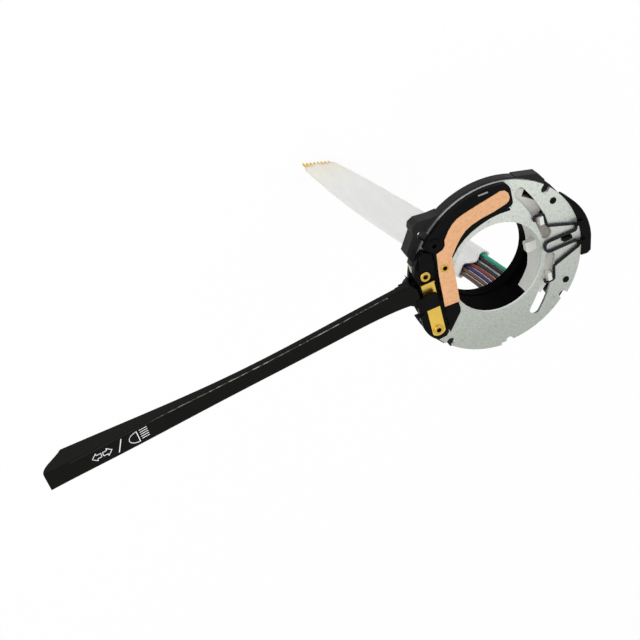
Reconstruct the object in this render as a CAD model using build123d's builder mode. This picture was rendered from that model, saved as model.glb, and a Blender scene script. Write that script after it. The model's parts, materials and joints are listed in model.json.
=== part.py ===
from build123d import *
from math import atan2, cos, degrees, radians, sin, sqrt, tan
import os

# Column switch for turn signals and high beam, with its lever, turn ring and wiring.
# Millimetres. Z is the steering column's axis, towards the steering wheel, and z = 0 is the
# rear end of the collar that slides over the column. The lever points to -X.

os.makedirs("parts", exist_ok=True)

UPWARD = (Align.CENTER, Align.CENTER, Align.MIN)  # a cylinder that stands on its place
DOWNWARD = (Align.CENTER, Align.CENTER, Align.MAX)  # a cylinder that hangs from its place

# ---- clearances -----------------------------------------------------------------------------
RUN_CLEARANCE = 0.03  # shaft in its hole
SLIDE_GAP = 0.3  # faces of pieces that move past each other
SEAT_GAP = 0.05  # fixed pieces that only locate each other

# ---- column collar --------------------------------------------------------------------------
BORE_R = 20.6
BORE_STEP = 0.35  # the front part of the bore is this much wider
COLLAR_WALL = 2.15
COLLAR_LENGTH = 19.4
COLLAR_OUT_R = BORE_R + COLLAR_WALL
WINDOW_SILL_Z = 5.2
WINDOW_START = -70.0
WINDOW_END = 74.0
COLLAR_FLANGE_W = 1.8
COLLAR_FLANGE_T = 1.2
COLLAR_CHAMFER = 0.5

# ---- base plate -----------------------------------------------------------------------------
PLATE_T = 1.2
PLATE_BACK = COLLAR_LENGTH
PLATE_FRONT = PLATE_BACK + PLATE_T
PLATE_R = 39.6
LEFT_EDGE = -PLATE_R  # the front pieces on the lever's side are placed from here
PLATE_LOW_R = PLATE_R - 1.2
PLATE_LOW_START = -98.0
PLATE_LOW_END = -47.0
PLATE_BORE_R = BORE_R + BORE_STEP
NOTCH_R = 1.7
NOTCH_ANGLE = -92.0
SCREW_SLOT_W = 3.6
SCREW_SLOT_INNER_R = PLATE_R - 3.4
SCREW_SLOT_ANGLES = (45.0, -45.0, 135.0, 223.0)
OPEN_SLOT_ANGLES = (45.0, 135.0, 223.0)  # slots that go on through the housing's bosses
CAM_SLOT_W = 4.9
UPPER_CAM_SLOT = ((24.0, 6.4), (20.9, 19.3), (15.6, 30.0))
LOWER_CAM_SLOT = ((24.0, -5.4), (20.1, -17.2), (12.9, -28.2))
STAKE_R = 1.5
STAKE_RING_R = PLATE_R - 3.8
STAKE_ANGLES = (34.3, -34.3)
STAKE_HEAD_H = 0.5

# ---- rear housing ---------------------------------------------------------------------------
FLOOR_T = 1.4
FLOOR_FRONT = PLATE_BACK - 5.6
FLOOR_BACK = FLOOR_FRONT - FLOOR_T
HOUSING_WALL = 1.6
HOUSING_R = PLATE_R - 1.4  # wall behind the plate
FLANGE_R = PLATE_R + 0.7  # rim that stands out past the plate on the upper and left sides
FLANGE_DEPTH = 4.2
FLANGE_START = 66.0
FLANGE_END = 226.0
HOUSING_START = -50.0
HOUSING_END = 234.0
SKIRT_R = HOUSING_R - 3.0
SKIRT_DEPTH = 4.4
SKIRT_START = 66.0
SKIRT_END = 214.0
BOSS_R = 4.2
BOSS_RING_R = PLATE_R - 3.0
SHELF_R = 31.4
SHELF_START = -127.0
SHELF_END = -54.0
LEVER_MOUTH = (-9.0, 17.0)  # Y range of the opening that the lever passes through
MOUTH_DEPTH = 10.0
FREE_WALL = (-60.0, -28.0)  # angles where the wall follows the plate's rim
# distance outside the plate's rim, and angle
LEFT_LUG = (
    (0.05, 118.6),
    (2.1, 123.5),
    (6.3, 129.3),
    (7.1, 132.7),
    (6.1, 135.2),
    (4.9, 136.4),
    (4.2, 143.4),
    (4.1, 148.1),
    (2.1, 150.5),
    (-2.1, 155.8),
    (-2.7, 139.4),
)
LEFT_LUG_DEPTH = 6.0
RIGHT_LUG = (
    (-2.4, 66.2),
    (0.9, 67.5),
    (3.4, 53.5),
    (1.6, 46.0),
    (0.1, 32.8),
    (-3.0, 35.0),
    (-2.4, 51.0),
)
RIGHT_LUG_DEPTH = 5.0

# ---- contact board, rivets and front pieces -------------------------------------------------
BOARD_T = 1.6
BOARD_IN_R = COLLAR_OUT_R + COLLAR_FLANGE_W + 0.2
BOARD_START = 70.0
BOARD_END = 226.0
CONTACT_ANGLES = (78.0, 96.0, 114.0, 132.0)
CONTACT_RING_R = 25.8
CONTACT_SHANK_R = 0.8
CONTACT_HEAD_R = 1.4
CONTACT_HEAD_T = 0.15
CARRIER_T = 4.0
CARRIER_RIM_R = PLATE_R - 0.2
CARRIER_END_X = 10.4
CARRIER_BAR_X = (LEFT_EDGE + 12.0, LEFT_EDGE + 18.3)
CARRIER_BAR_Y = (-5.0, 22.0)
STRIP_T = 0.5
# inset from the carrier's rim, and angle
STRIP_ROUND_END = ((8.7, 78.8), (3.9, 74.2), (1.3, 80.6))
STRIP_OUTER = ((2.6, 110.1), (2.7, 116.7), (4.4, 126.9), (6.3, 131.5), (6.5, 135.0), (5.5, 140.9))
STRIP_BEND = ((11.65, 121.7), (10.94, 101.3))
STRIP_FOOT_Y = (-4.2, -4.6)
LEAF_BASE_T = 1.5
LEAF_T = 0.4
LEAF_X = (LEFT_EDGE + 4.3, LEFT_EDGE + 10.2)
LEAF_Y = (-18.8, 8.9)
GUIDE_T = 2.6
# distance from the plate's left edge, and y
GUIDE_OUTLINE = ((3.1, 10.2), (11.3, 10.2), (11.3, 22.4), (8.0, 24.0), (6.2, 22.6), (3.6, 18.6), (2.4, 14.8))
GUIDE_STEP_OUTLINE = ((4.2, 16.4), (11.3, 15.4), (11.3, 22.4), (8.0, 24.0), (6.2, 22.6))
LEAF_BASE_OUTLINE = (
    (1.4, -8.0),
    (3.6, -6.6),
    (3.6, 9.6),
    (11.6, 9.6),
    (11.6, -19.4),
    (10.2, -20.9),
    (6.4, -21.2),
)
LEAF_BASE_ROUND = (1.7, -14.6)
RIVET_R = 2.3
RIVET_HOLE_R = 1.0
RIVET_HEAD_T = 0.7
UPPER_RIVET = (LEFT_EDGE + 6.8, 12.4)
LOWER_RIVET = (LEFT_EDGE + 7.1, -15.8)
STRIP_EYELET = (LEFT_EDGE + 15.3, 13.6)
EYELET_R = 1.8
EYELET_SHANK_R = 1.4
EYELET_HOLE_R = 0.9
EYELET_HEAD_T = 0.35
EYELET_DEPTH = 1.6
RIVET_SHANK_R = 1.5
CARRIER_RIM_END = 141.0
CARRIER_INNER_ARC = ((12.6, 127.1), (11.7, 110.3), (11.7, 93.1))  # inset from the rim, and angle
CARRIER_END_W = 11.1
CARRIER_RIM_CHAMFER = 1.8
CARRIER_CORNER_R = 2.2
CARRIER_BOSS_PLACE = (2.5, 136.1)  # inset from the rim, and angle
CARRIER_BOSS_R = 3.0
CARRIER_BOSS_H = 0.9
CARRIER_FOOT_T = 2.4
CONTACT_TAIL_T = 0.8
LEAF_LIP_H = 1.1
LEAF_END_ROUND = 1.6
GUIDE_STEP = 1.4

# ---- turn ring ------------------------------------------------------------------------------
RING_IN_R = COLLAR_OUT_R + 0.4
RING_OUT_R = 28.2
SECTOR_GAP = 0.5  # between the ring's wide sectors and the housing's bosses
WALL_GAP = 1.2  # between the ring's widest sector and the housing's wall
WIDE_START = 36.0
WIDEST_START = 58.5
WIDE_END = 78.0
RING_ARM_WALL = 0.9  # outside the slot for the drive pin
RING_BACK = FLOOR_FRONT + SLIDE_GAP
RING_FRONT = PLATE_BACK - SLIDE_GAP
RING_STEP_FRONT = RING_BACK + 2.3
RING_START = -52.0
RING_STEP_START = 152.0
RING_END = 188.0
PAD_IN_R = PLATE_BORE_R
PAD_T = 1.0
PAD_OUT_R = PAD_IN_R + PAD_T
PAD_START = -60.0
PAD_END = 64.0
PAD_BACK = WINDOW_SILL_Z + 0.4
# x and z of the ramp that cuts the pad's lower end away
PAD_RAMP = ((20.6, PAD_BACK), (19.1, 8.6), (17.2, 10.7), (14.0, 11.6), (9.0, 13.3))
POCKET_R = PAD_OUT_R + SLIDE_GAP
POCKET_WALL = 1.0
POCKET_MARGIN = 3.0  # angle that the thicker wall goes on beside the pocket
WEB_WINDOW_START = RING_START - 10.0
POST_SIZE = (1.8, 3.8)
POST_TOP = PLATE_FRONT + 1.9
POST_PLACES = ((26.45, 32.6), (25.75, -32.8))  # radius and angle of each
FINGER_IN_R = 16.0
FINGER_W = 4.7
FINGER_BACK = 13.2
FINGER_T = 2.6
FINGER_ROOT = 0.6  # depth of the pocket in the pad that takes the finger
BRIDGE_IN_R = 24.9
BRIDGE_OUT_R = 26.7
BRIDGE_T = 0.5
BRIDGE_SPANS = ((73.0, 101.0), (109.0, 137.0))  # angles, each over two fixed contacts

# ---- lever yoke -----------------------------------------------------------------------------
PIVOT = (LEFT_EDGE + 3.4, 3.5)
PIVOT_R = 1.2
PIVOT_HEAD_R = 2.2
PIVOT_HEAD_T = 0.8
PIVOT_BOSS_H = 2.0
DRIVE_RING_R = RING_IN_R + 1.45  # where the drive pin meets the ring, from the column axis
DRIVE_PIN_R = 1.1
DRIVE_SLOT_GAP = 0.25
DRIVE_SLOT_ROOM = 0.6
RING_ARM_R = DRIVE_RING_R + DRIVE_PIN_R + DRIVE_SLOT_ROOM + RING_ARM_WALL
YOKE_BOSS_R = 2.6
YOKE_ARM_W = 5.0
YOKE_BODY_TOP = 18.4
TILT_X = PIVOT[0] - 4.7
TILT_Z = 18.6
TILT_PIN_R = 1.1
TONGUE_Y = 4.0
TONGUE_W = 3.4
TONGUE_HALF = 1.5
EAR_T = 1.8
DETENT_BALL_R = 1.5
DETENT_SPRING_R = 1.2
DETENT_SPRING_WIRE_R = 0.2
DETENT_SPRING_TURNS = 4
DETENT_BORE_DEPTH = 4.0
DETENT_CHANNEL_START = -24.0
DETENT_CHANNEL_ARC = 36.0
# the ball sits midway between the pivot pin and the ring
DETENT_R = (sqrt(PIVOT[0] ** 2 + PIVOT[1] ** 2) - RING_ARM_R + PIVOT_R) / 2
YOKE_BODY_X = PIVOT[0]
YOKE_BODY_L = 5.2

# ---- lever ----------------------------------------------------------------------------------
LEVER_SLOPE = 0.099  # rise towards the steering wheel for each millimetre of reach
LEVER_ROOT = (PIVOT[0] - 8.8, 7.5, 23.3)
HEAD_BACK = 21.0
HEAD_FRONT = 25.0
NOSE_BACK = 23.75
NOSE_FRONT = 25.3
NOSE_RIGHT = PIVOT[0] + 6.0
NOSE_Y = (-2.7, 3.9)
CORE_W = 3.4
CORE_T = 1.4
CORE_REACH = 128.0
CORE_GAP = 0.1
CORE_START = 2.0
HEAD_RIGHT = PIVOT[0] - 1.7
# distance from the pivot, and y
HEAD_UPPER = ((-9.8, 3.6), (-9.8, 11.6), (-4.3, 12.0), (-3.4, 11.2))
HEAD_HOLLOW = (-4.2, 1.4)
HEAD_FOOT = (-2.4, -3.1)
HEAD_CORNER_Y = 8.8
PUSHER_SEAT = 1.6
LEVER_CORNER_R = 0.8
# distance along the lever, width, thickness, sideways shift of the centre
LEVER_SECTIONS = (
    (-3.0, 9.5, 4.2, -0.2),
    (9.0, 8.2, 3.9, 0.2),
    (25.0, 7.6, 3.9, 0.0),
    (65.0, 7.1, 3.9, -0.8),
    (100.0, 7.6, 5.6, -0.5),
    (125.0, 7.9, 8.5, 0.2),
    (157.5, 8.1, 12.2, 1.3),
)
# the tip's end face: set back from the lever's end, and depth below its front face
TIP_PROFILE = ((0.0, 0.0), (0.8, 3.2), (3.6, 6.3), (9.7, 12.6))
TIP_MARGIN = 4.0  # how far the cut that forms the tip reaches past it

# ---- springs --------------------------------------------------------------------------------
SPRING_WIRE_R = 0.6
SPRING_Z = PLATE_FRONT + 0.75
SPRING_LOOP_X = (PLATE_R - 2.0, PLATE_R - 1.7)
SPRING_NOSE = (22.2, 2.5)
SPRING_LOOP_Y = 5.5
SPRING_LEG = ((24.7, 10.2), (23.9, 16.8), (19.6, 16.8), (19.4, 14.8))
SPRING_BENDS = (1.1, 1.1, 1.6, 1.2, 0.9)
SPRING_NOSE_BEND = 2.3

# ---- spring guard ---------------------------------------------------------------------------
GUARD_BACK = 15.8
GUARD_FRONT = PLATE_FRONT + 0.6
GUARD_TONGUE_T = 1.5
# distance outside the guard's inner face, and angle
GUARD_START = 29.5
GUARD_BACK_ARC = ((0.9, GUARD_START), (3.7, 12.0), (4.5, -4.0))
GUARD_END = ((4.4, -13.4), (3.0, -15.3))
GUARD_LOW_END = -16.0
GUARD_TONGUE_ANGLE = 15.0
HOOK_BAR_TOP = PLATE_FRONT + 1.6
CLAW_Y = ((4.9, 6.6), (-4.5, -2.8))
CLAW_FRONT = PLATE_FRONT + 2.3
CLAW_TIP_X = PLATE_R - 3.0
CLAW_ROOT_X = PLATE_R - 0.8
CLAW_LIP_T = 0.7
GUARD_TONGUE_IN_R = RING_OUT_R + 1.8
HOOK_BAR = (GUARD_TONGUE_IN_R + 2.8, 0.5, 4.2, 1.6)  # centre x, centre y, length, width

# ---- wiring ---------------------------------------------------------------------------------
WIRE_NAMES = ("green", "black", "white", "grey", "red", "blue", "brown", "violet")
WIRE_R = 0.95
WIRE_PITCH = 2.15
# height, centre x, centre y and turn of the flat row of wires
WIRE_STATIONS = (
    (9.0, 9.8, -28.4, 19.0),
    (2.0, 9.4, -27.6, 17.0),
    (-8.0, 7.4, -25.6, 14.0),
    (-26.4, 4.0, -24.0, 15.0),
    (-50.0, 1.6, -24.6, 21.0),
    (-80.0, -1.9, -25.9, 27.0),
    (-118.0, -8.2, -25.7, 18.0),
    (-143.0, -14.4, -22.6, 4.0),
    (-161.0, -20.4, -17.6, -13.0),
)
FIRST_SLEEVE_STATION = 3
SLEEVE_WALL = 0.5
SLEEVE_ROOM = 1.5  # free height inside the sleeve beside the wires
SLEEVE_SIDE_ROOM = 1.0
TERMINAL_L = 7.0
TERMINAL_BARREL_L = 2.45
TERMINAL_BARREL_R = WIRE_R - 0.1
TERMINAL_W = 1.6
TERMINAL_T = 0.6
TAG_R = 0.65
TAG_GAP = 0.15  # solder fillet between a tag and the tilted end of its wire


def sector(inner_r, outer_r, start, end):
    """Flat ring sector about the origin, between two angles in degrees."""
    with BuildSketch() as face:
        with BuildLine():
            outer = CenterArc((0, 0), outer_r, start, end - start)
            inner = CenterArc((0, 0), inner_r, start, end - start)
            Line(outer @ 0, inner @ 0)
            Line(outer @ 1, inner @ 1)
        make_face()
    return face.sketch


def outline(*points):
    """Flat face with straight sides through the points."""
    with BuildSketch() as face:
        with BuildLine():
            Polyline(*points, close=True)
        make_face()
    return face.sketch


def polar(radius, angle):
    return (radius * cos(radians(angle)), radius * sin(radians(angle)))


def save(piece, name):
    piece.part.label = name
    export_step(piece.part, f"parts/{name}.step")


# ---- base plate: zinc-plated steel ----------------------------------------------------------
with BuildPart() as base_plate:
    with BuildSketch(Plane.XY.offset(PLATE_BACK)):
        Circle(PLATE_R)
        Circle(PLATE_BORE_R, mode=Mode.SUBTRACT)
        add(sector(PLATE_LOW_R, PLATE_R + 1, PLATE_LOW_START, PLATE_LOW_END), mode=Mode.SUBTRACT)
        with Locations(polar(PLATE_LOW_R, NOTCH_ANGLE)):
            Circle(NOTCH_R, mode=Mode.SUBTRACT)
        for angle in SCREW_SLOT_ANGLES:
            slot_length = 2 * (PLATE_R - SCREW_SLOT_INNER_R)
            with Locations(Location((*polar(PLATE_R, angle), 0), (0, 0, angle))):
                SlotOverall(slot_length, SCREW_SLOT_W, mode=Mode.SUBTRACT)
        for slot in (UPPER_CAM_SLOT, LOWER_CAM_SLOT):
            SlotArc(ThreePointArc(*slot), CAM_SLOT_W, mode=Mode.SUBTRACT)
        for angle in STAKE_ANGLES:
            with Locations(polar(STAKE_RING_R, angle)):
                Circle(STAKE_R + SEAT_GAP, mode=Mode.SUBTRACT)
        bar_x, bar_y, bar_length, bar_width = HOOK_BAR
        with Locations((bar_x, bar_y)):
            Rectangle(bar_length + 2 * SLIDE_GAP, bar_width + 2 * SLIDE_GAP, mode=Mode.SUBTRACT)
        mouth_width = LEVER_MOUTH[1] - LEVER_MOUTH[0]
        with Locations((-PLATE_R, (LEVER_MOUTH[0] + LEVER_MOUTH[1]) / 2)):
            Rectangle(2 * MOUTH_DEPTH, mouth_width, mode=Mode.SUBTRACT)
    extrude(amount=PLATE_T)
save(base_plate, "base_plate")

# ---- column collar: moulded tube with a window for the turn ring ----------------------------
with BuildPart() as column_collar:
    with BuildSketch(Plane.XY):
        Circle(COLLAR_OUT_R)
        Circle(BORE_R, mode=Mode.SUBTRACT)
    extrude(amount=COLLAR_LENGTH)
    with BuildSketch(Plane.XY.offset(WINDOW_SILL_Z)):
        Circle(PLATE_BORE_R)
    extrude(amount=COLLAR_LENGTH - WINDOW_SILL_Z, mode=Mode.SUBTRACT)
    with BuildSketch(Plane.XY.offset(FLOOR_BACK)):
        Circle(COLLAR_OUT_R + COLLAR_FLANGE_W)
        Circle(PLATE_BORE_R + 1, mode=Mode.SUBTRACT)
    extrude(amount=-COLLAR_FLANGE_T)
    # thicker wall behind the pocket of the ring's pad
    with BuildSketch(Plane.XY.offset(WINDOW_SILL_Z - POCKET_WALL)):
        wall_start = WINDOW_START - POCKET_MARGIN
        add(sector(PLATE_BORE_R + 1, POCKET_R + POCKET_WALL, wall_start, WINDOW_END + POCKET_MARGIN))
    extrude(amount=FLOOR_BACK - WINDOW_SILL_Z + POCKET_WALL)
    # pocket for the pad, and the window that its web passes through
    with BuildSketch(Plane.XY.offset(WINDOW_SILL_Z)):
        add(sector(BORE_R - 1, POCKET_R, WINDOW_START, WINDOW_END))
    extrude(amount=COLLAR_LENGTH - WINDOW_SILL_Z, mode=Mode.SUBTRACT)
    with BuildSketch(Plane.XY.offset(FLOOR_FRONT)):
        add(sector(BORE_R - 1, COLLAR_OUT_R + 1, WEB_WINDOW_START, WINDOW_END))
    extrude(amount=COLLAR_LENGTH - FLOOR_FRONT, mode=Mode.SUBTRACT)
    rear_rim = column_collar.edges().filter_by(GeomType.CIRCLE).group_by(Axis.Z)[0]
    chamfer(rear_rim.sort_by(SortBy.RADIUS)[-1], COLLAR_CHAMFER)
save(column_collar, "column_collar")

# ---- rear housing: moulded tray behind the plate --------------------------------------------
screw_holes = [Location((*polar(PLATE_R, a), 0), (0, 0, a)) for a in OPEN_SLOT_ANGLES]
with BuildPart() as rear_housing:
    with BuildSketch(Plane.XY.offset(FLOOR_BACK)):
        add(sector(COLLAR_OUT_R + SEAT_GAP, HOUSING_R, HOUSING_START, HOUSING_END))
        add(sector(COLLAR_OUT_R + SEAT_GAP, SHELF_R, SHELF_START, SHELF_END))
        for angle in SCREW_SLOT_ANGLES:
            with Locations(polar(BOSS_RING_R, angle)):
                Circle(BOSS_R)
    extrude(amount=FLOOR_T)
    with BuildSketch(Plane.XY.offset(FLOOR_FRONT)):
        add(sector(HOUSING_R - HOUSING_WALL, HOUSING_R, HOUSING_START, HOUSING_END))
        for angle in SCREW_SLOT_ANGLES:
            with Locations(polar(BOSS_RING_R, angle)):
                Circle(BOSS_R)
    extrude(amount=PLATE_BACK - FLOOR_FRONT)
    with BuildSketch(Plane.XY.offset(PLATE_BACK)):
        add(sector(HOUSING_R - HOUSING_WALL, FLANGE_R, FLANGE_START, FLANGE_END))
    extrude(amount=-FLANGE_DEPTH)
    # skirt around the contact board
    with BuildSketch(Plane.XY.offset(FLOOR_BACK)):
        add(sector(SKIRT_R - HOUSING_WALL, SKIRT_R, SKIRT_START, SKIRT_END))
    extrude(amount=-SKIRT_DEPTH)
    # lugs at the upper left and the upper right
    for lug, depth in ((LEFT_LUG, LEFT_LUG_DEPTH), (RIGHT_LUG, RIGHT_LUG_DEPTH)):
        with BuildSketch(Plane.XY.offset(PLATE_BACK)):
            add(outline(*[polar(PLATE_R + out, angle) for out, angle in lug]))
        extrude(amount=-depth)
    # opening for the lever
    with BuildSketch(Plane.XY.offset(FLOOR_FRONT)):
        with Locations((-FLANGE_R, (LEVER_MOUTH[0] + LEVER_MOUTH[1]) / 2)):
            Rectangle(2 * (MOUTH_DEPTH + FLANGE_R - PLATE_R), mouth_width)
    extrude(amount=PLATE_BACK - FLOOR_FRONT, mode=Mode.SUBTRACT)
    # notch in the wall for the guard's tongue
    with BuildSketch(Plane.XY.offset(PLATE_BACK - GUARD_TONGUE_T - SEAT_GAP)):
        notch_half = GUARD_TONGUE_ANGLE + 1
        add(sector(HOUSING_R - HOUSING_WALL - 1, HOUSING_R + 2, -notch_half, notch_half))
    extrude(amount=GUARD_TONGUE_T + SEAT_GAP, mode=Mode.SUBTRACT)
    # boss and hole for the lever pivot
    with BuildSketch(Plane.XY.offset(FLOOR_BACK)):
        with Locations(PIVOT):
            Circle(PIVOT_HEAD_R + 1.6)
    extrude(amount=-PIVOT_BOSS_H)
    with BuildSketch(Plane.XY.offset(FLOOR_FRONT)):
        with Locations(PIVOT):
            Circle(PIVOT_R)
    extrude(amount=-FLOOR_T - PIVOT_BOSS_H, mode=Mode.SUBTRACT)
    with BuildSketch(Plane.XY.offset(FLOOR_BACK - PIVOT_BOSS_H)):
        with Locations(PIVOT):
            Circle(PIVOT_HEAD_R + SLIDE_GAP)
    extrude(amount=-SKIRT_DEPTH, mode=Mode.SUBTRACT)
    # round channel that the detent ball runs in
    with BuildSketch(Plane.XY.offset(FLOOR_FRONT)):
        with Locations(PIVOT):
            channel = CenterArc((0, 0), DETENT_R, DETENT_CHANNEL_START, DETENT_CHANNEL_ARC)
            SlotArc(channel, 2 * DETENT_BALL_R + 1.0)
    extrude(amount=-(DETENT_BALL_R - 0.7), mode=Mode.SUBTRACT)
    # holes for the fixed contacts and the screws
    with BuildSketch(Plane.XY.offset(FLOOR_BACK)):
        for angle in CONTACT_ANGLES:
            with Locations(polar(CONTACT_RING_R, angle)):
                Circle(CONTACT_SHANK_R)
    extrude(amount=FLOOR_T, mode=Mode.SUBTRACT)
    with BuildSketch(Plane.XY):
        for place in screw_holes:
            with Locations(place):
                SlotOverall(2 * (PLATE_R - SCREW_SLOT_INNER_R), SCREW_SLOT_W)
    extrude(amount=PLATE_BACK, mode=Mode.SUBTRACT)
    # holes for the stake pins
    with BuildSketch(Plane.XY.offset(FLOOR_BACK)):
        for angle in STAKE_ANGLES:
            with Locations(polar(STAKE_RING_R, angle)):
                Circle(STAKE_R)
    extrude(amount=PLATE_BACK - FLOOR_BACK, mode=Mode.SUBTRACT)
    # the free wall on the right follows the plate's rim
    with BuildSketch(Plane.XY.offset(FLOOR_BACK)):
        add(sector(HOUSING_R, FLANGE_R + BOSS_R, *FREE_WALL))
    extrude(amount=PLATE_BACK - FLOOR_BACK, mode=Mode.SUBTRACT)
save(rear_housing, "rear_housing")


# ---- contact board and fixed contacts -------------------------------------------------------
with BuildPart() as contact_board:
    with BuildSketch(Plane.XY.offset(FLOOR_BACK)):
        add(sector(BOARD_IN_R, SKIRT_R - HOUSING_WALL - SEAT_GAP, BOARD_START, BOARD_END))
        with Locations(PIVOT):
            Circle(PIVOT_HEAD_R + 1.6 + SEAT_GAP, mode=Mode.SUBTRACT)
        for angle in CONTACT_ANGLES:
            with Locations(polar(CONTACT_RING_R, angle)):
                Circle(CONTACT_SHANK_R, mode=Mode.SUBTRACT)
        for angle in SCREW_SLOT_ANGLES:
            with Locations(polar(BOSS_RING_R, angle)):
                Circle(BOSS_R + SEAT_GAP, mode=Mode.SUBTRACT)
    extrude(amount=-BOARD_T)
save(contact_board, "contact_board")

BOARD_BACK = FLOOR_BACK - BOARD_T
with BuildPart() as fixed_contacts:
    for angle in CONTACT_ANGLES:
        x, y = polar(CONTACT_RING_R, angle)
        with Locations((x, y, BOARD_BACK)):
            Cylinder(CONTACT_SHANK_R, FLOOR_FRONT - BOARD_BACK, align=UPWARD)
            Cylinder(CONTACT_HEAD_R, CONTACT_TAIL_T, align=DOWNWARD)
        with Locations((x, y, FLOOR_FRONT)):
            Cylinder(CONTACT_HEAD_R, CONTACT_HEAD_T, align=UPWARD)
save(fixed_contacts, "fixed_contacts")

# ---- stake pins of the housing, rounded over on the plate -----------------------------------
with BuildPart() as stake_pins:
    for angle in STAKE_ANGLES:
        with Locations((*polar(STAKE_RING_R, angle), FLOOR_BACK)):
            Cylinder(STAKE_R, PLATE_FRONT + STAKE_HEAD_H - FLOOR_BACK, align=UPWARD)
    chamfer(stake_pins.edges().filter_by(GeomType.CIRCLE).group_by(Axis.Z)[-1], STAKE_HEAD_H * 0.8)
save(stake_pins, "stake_pins")

# ---- guard around the spring's outer loops --------------------------------------------------
GUARD_IN_R = PLATE_R + 0.15
with BuildPart() as spring_guard:
    with BuildSketch(Plane.XY.offset(GUARD_BACK)):
        with BuildLine():
            inner = CenterArc((0, 0), GUARD_IN_R, GUARD_LOW_END, GUARD_START - GUARD_LOW_END)
            outer = ThreePointArc(*[polar(GUARD_IN_R + out, angle) for out, angle in GUARD_BACK_ARC])
            Line(inner @ 1, outer @ 0)
            Polyline(outer @ 1, *[polar(GUARD_IN_R + out, angle) for out, angle in GUARD_END], inner @ 0)
        make_face()
    extrude(amount=GUARD_FRONT - GUARD_BACK)
    with BuildSketch(Plane.XY.offset(PLATE_BACK)):
        add(sector(GUARD_TONGUE_IN_R, GUARD_IN_R + 1, -GUARD_TONGUE_ANGLE, GUARD_TONGUE_ANGLE))
    extrude(amount=-GUARD_TONGUE_T)
    with BuildSketch(Plane.XY.offset(PLATE_BACK - GUARD_TONGUE_T / 2)):
        with Locations((bar_x, bar_y)):
            Rectangle(bar_length, bar_width)
    extrude(amount=HOOK_BAR_TOP - PLATE_BACK + GUARD_TONGUE_T / 2)
    for low_y, high_y in CLAW_Y:
        with BuildSketch(Plane.XZ.offset(-low_y)):
            with BuildLine():
                Polyline(
                    (CLAW_TIP_X, CLAW_FRONT),
                    (CLAW_TIP_X, CLAW_FRONT - CLAW_LIP_T),
                    (CLAW_ROOT_X, CLAW_FRONT - CLAW_LIP_T),
                    (CLAW_ROOT_X, PLATE_FRONT + SEAT_GAP),
                    (GUARD_IN_R + 1, PLATE_FRONT + SEAT_GAP),
                    (GUARD_IN_R + 1, CLAW_FRONT),
                    close=True,
                )
            make_face()
        extrude(amount=low_y - high_y)
save(spring_guard, "spring_guard")

# ---- front carrier of the horn contact ------------------------------------------------------
def carrier_place(inset, angle):
    return polar(CARRIER_RIM_R - inset, angle)


def from_left_edge(places):
    return [(LEFT_EDGE + inset, y) for inset, y in places]


CARRIER_FRONT = PLATE_FRONT + CARRIER_T
bar_left, bar_right = CARRIER_BAR_X
bar_low, bar_high = CARRIER_BAR_Y
rim_start = degrees(atan2(sqrt(CARRIER_RIM_R**2 - CARRIER_END_X**2), CARRIER_END_X))
with BuildPart() as horn_contact_carrier:
    with BuildSketch(Plane.XY.offset(PLATE_FRONT)):
        with BuildLine():
            rim = CenterArc((0, 0), CARRIER_RIM_R, rim_start, CARRIER_RIM_END - rim_start)
            Polyline(
                rim @ 1,
                (bar_left, bar_high),
                (bar_left, bar_low),
                (bar_right, bar_low),
                (bar_right, 15.2),
                (bar_right + 1.3, 17.8),
                carrier_place(*CARRIER_INNER_ARC[0]),
            )
            inner = ThreePointArc(*[carrier_place(*place) for place in CARRIER_INNER_ARC])
            corner = (CARRIER_END_X, CARRIER_RIM_R - CARRIER_END_W)
            Line(inner @ 1, corner)
            Line(corner, rim @ 0)
        make_face()
    extrude(amount=CARRIER_T)
    rim_edges = horn_contact_carrier.edges().filter_by(GeomType.CIRCLE).sort_by(SortBy.RADIUS)[-2:]
    chamfer(rim_edges.sort_by(Axis.Z)[-1], CARRIER_RIM_CHAMFER)
    end_corners = horn_contact_carrier.edges().filter_by(Axis.Z).group_by(Axis.X)[-1]
    fillet(end_corners, CARRIER_CORNER_R)
    # raised boss at the left end
    with BuildSketch(Plane.XY.offset(CARRIER_FRONT)):
        with Locations(carrier_place(*CARRIER_BOSS_PLACE)):
            Circle(CARRIER_BOSS_R)
    extrude(amount=CARRIER_BOSS_H)
    with BuildSketch(Plane.XY.offset(CARRIER_FRONT + CARRIER_BOSS_H)):
        with Locations(carrier_place(*CARRIER_BOSS_PLACE)):
            Circle(CARRIER_BOSS_R / 3)
    extrude(amount=-2 * CARRIER_BOSS_H, mode=Mode.SUBTRACT)
    # low foot below the strip
    with BuildSketch(Plane.XY.offset(PLATE_FRONT)):
        foot_top = bar_low + 0.1
        add(
            outline(
                (bar_left, foot_top),
                (bar_right, foot_top),
                (bar_right + 0.4, -9.5),
                (bar_right + 0.1, -11.4),
                (bar_left, -19.2),
            )
        )
    extrude(amount=CARRIER_FOOT_T)
    # hole for the strip's eyelet
    with BuildSketch(Plane.XY.offset(CARRIER_FRONT)):
        with Locations(STRIP_EYELET):
            Circle(EYELET_SHANK_R)
    extrude(amount=-EYELET_DEPTH, mode=Mode.SUBTRACT)
save(horn_contact_carrier, "horn_contact_carrier")

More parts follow.
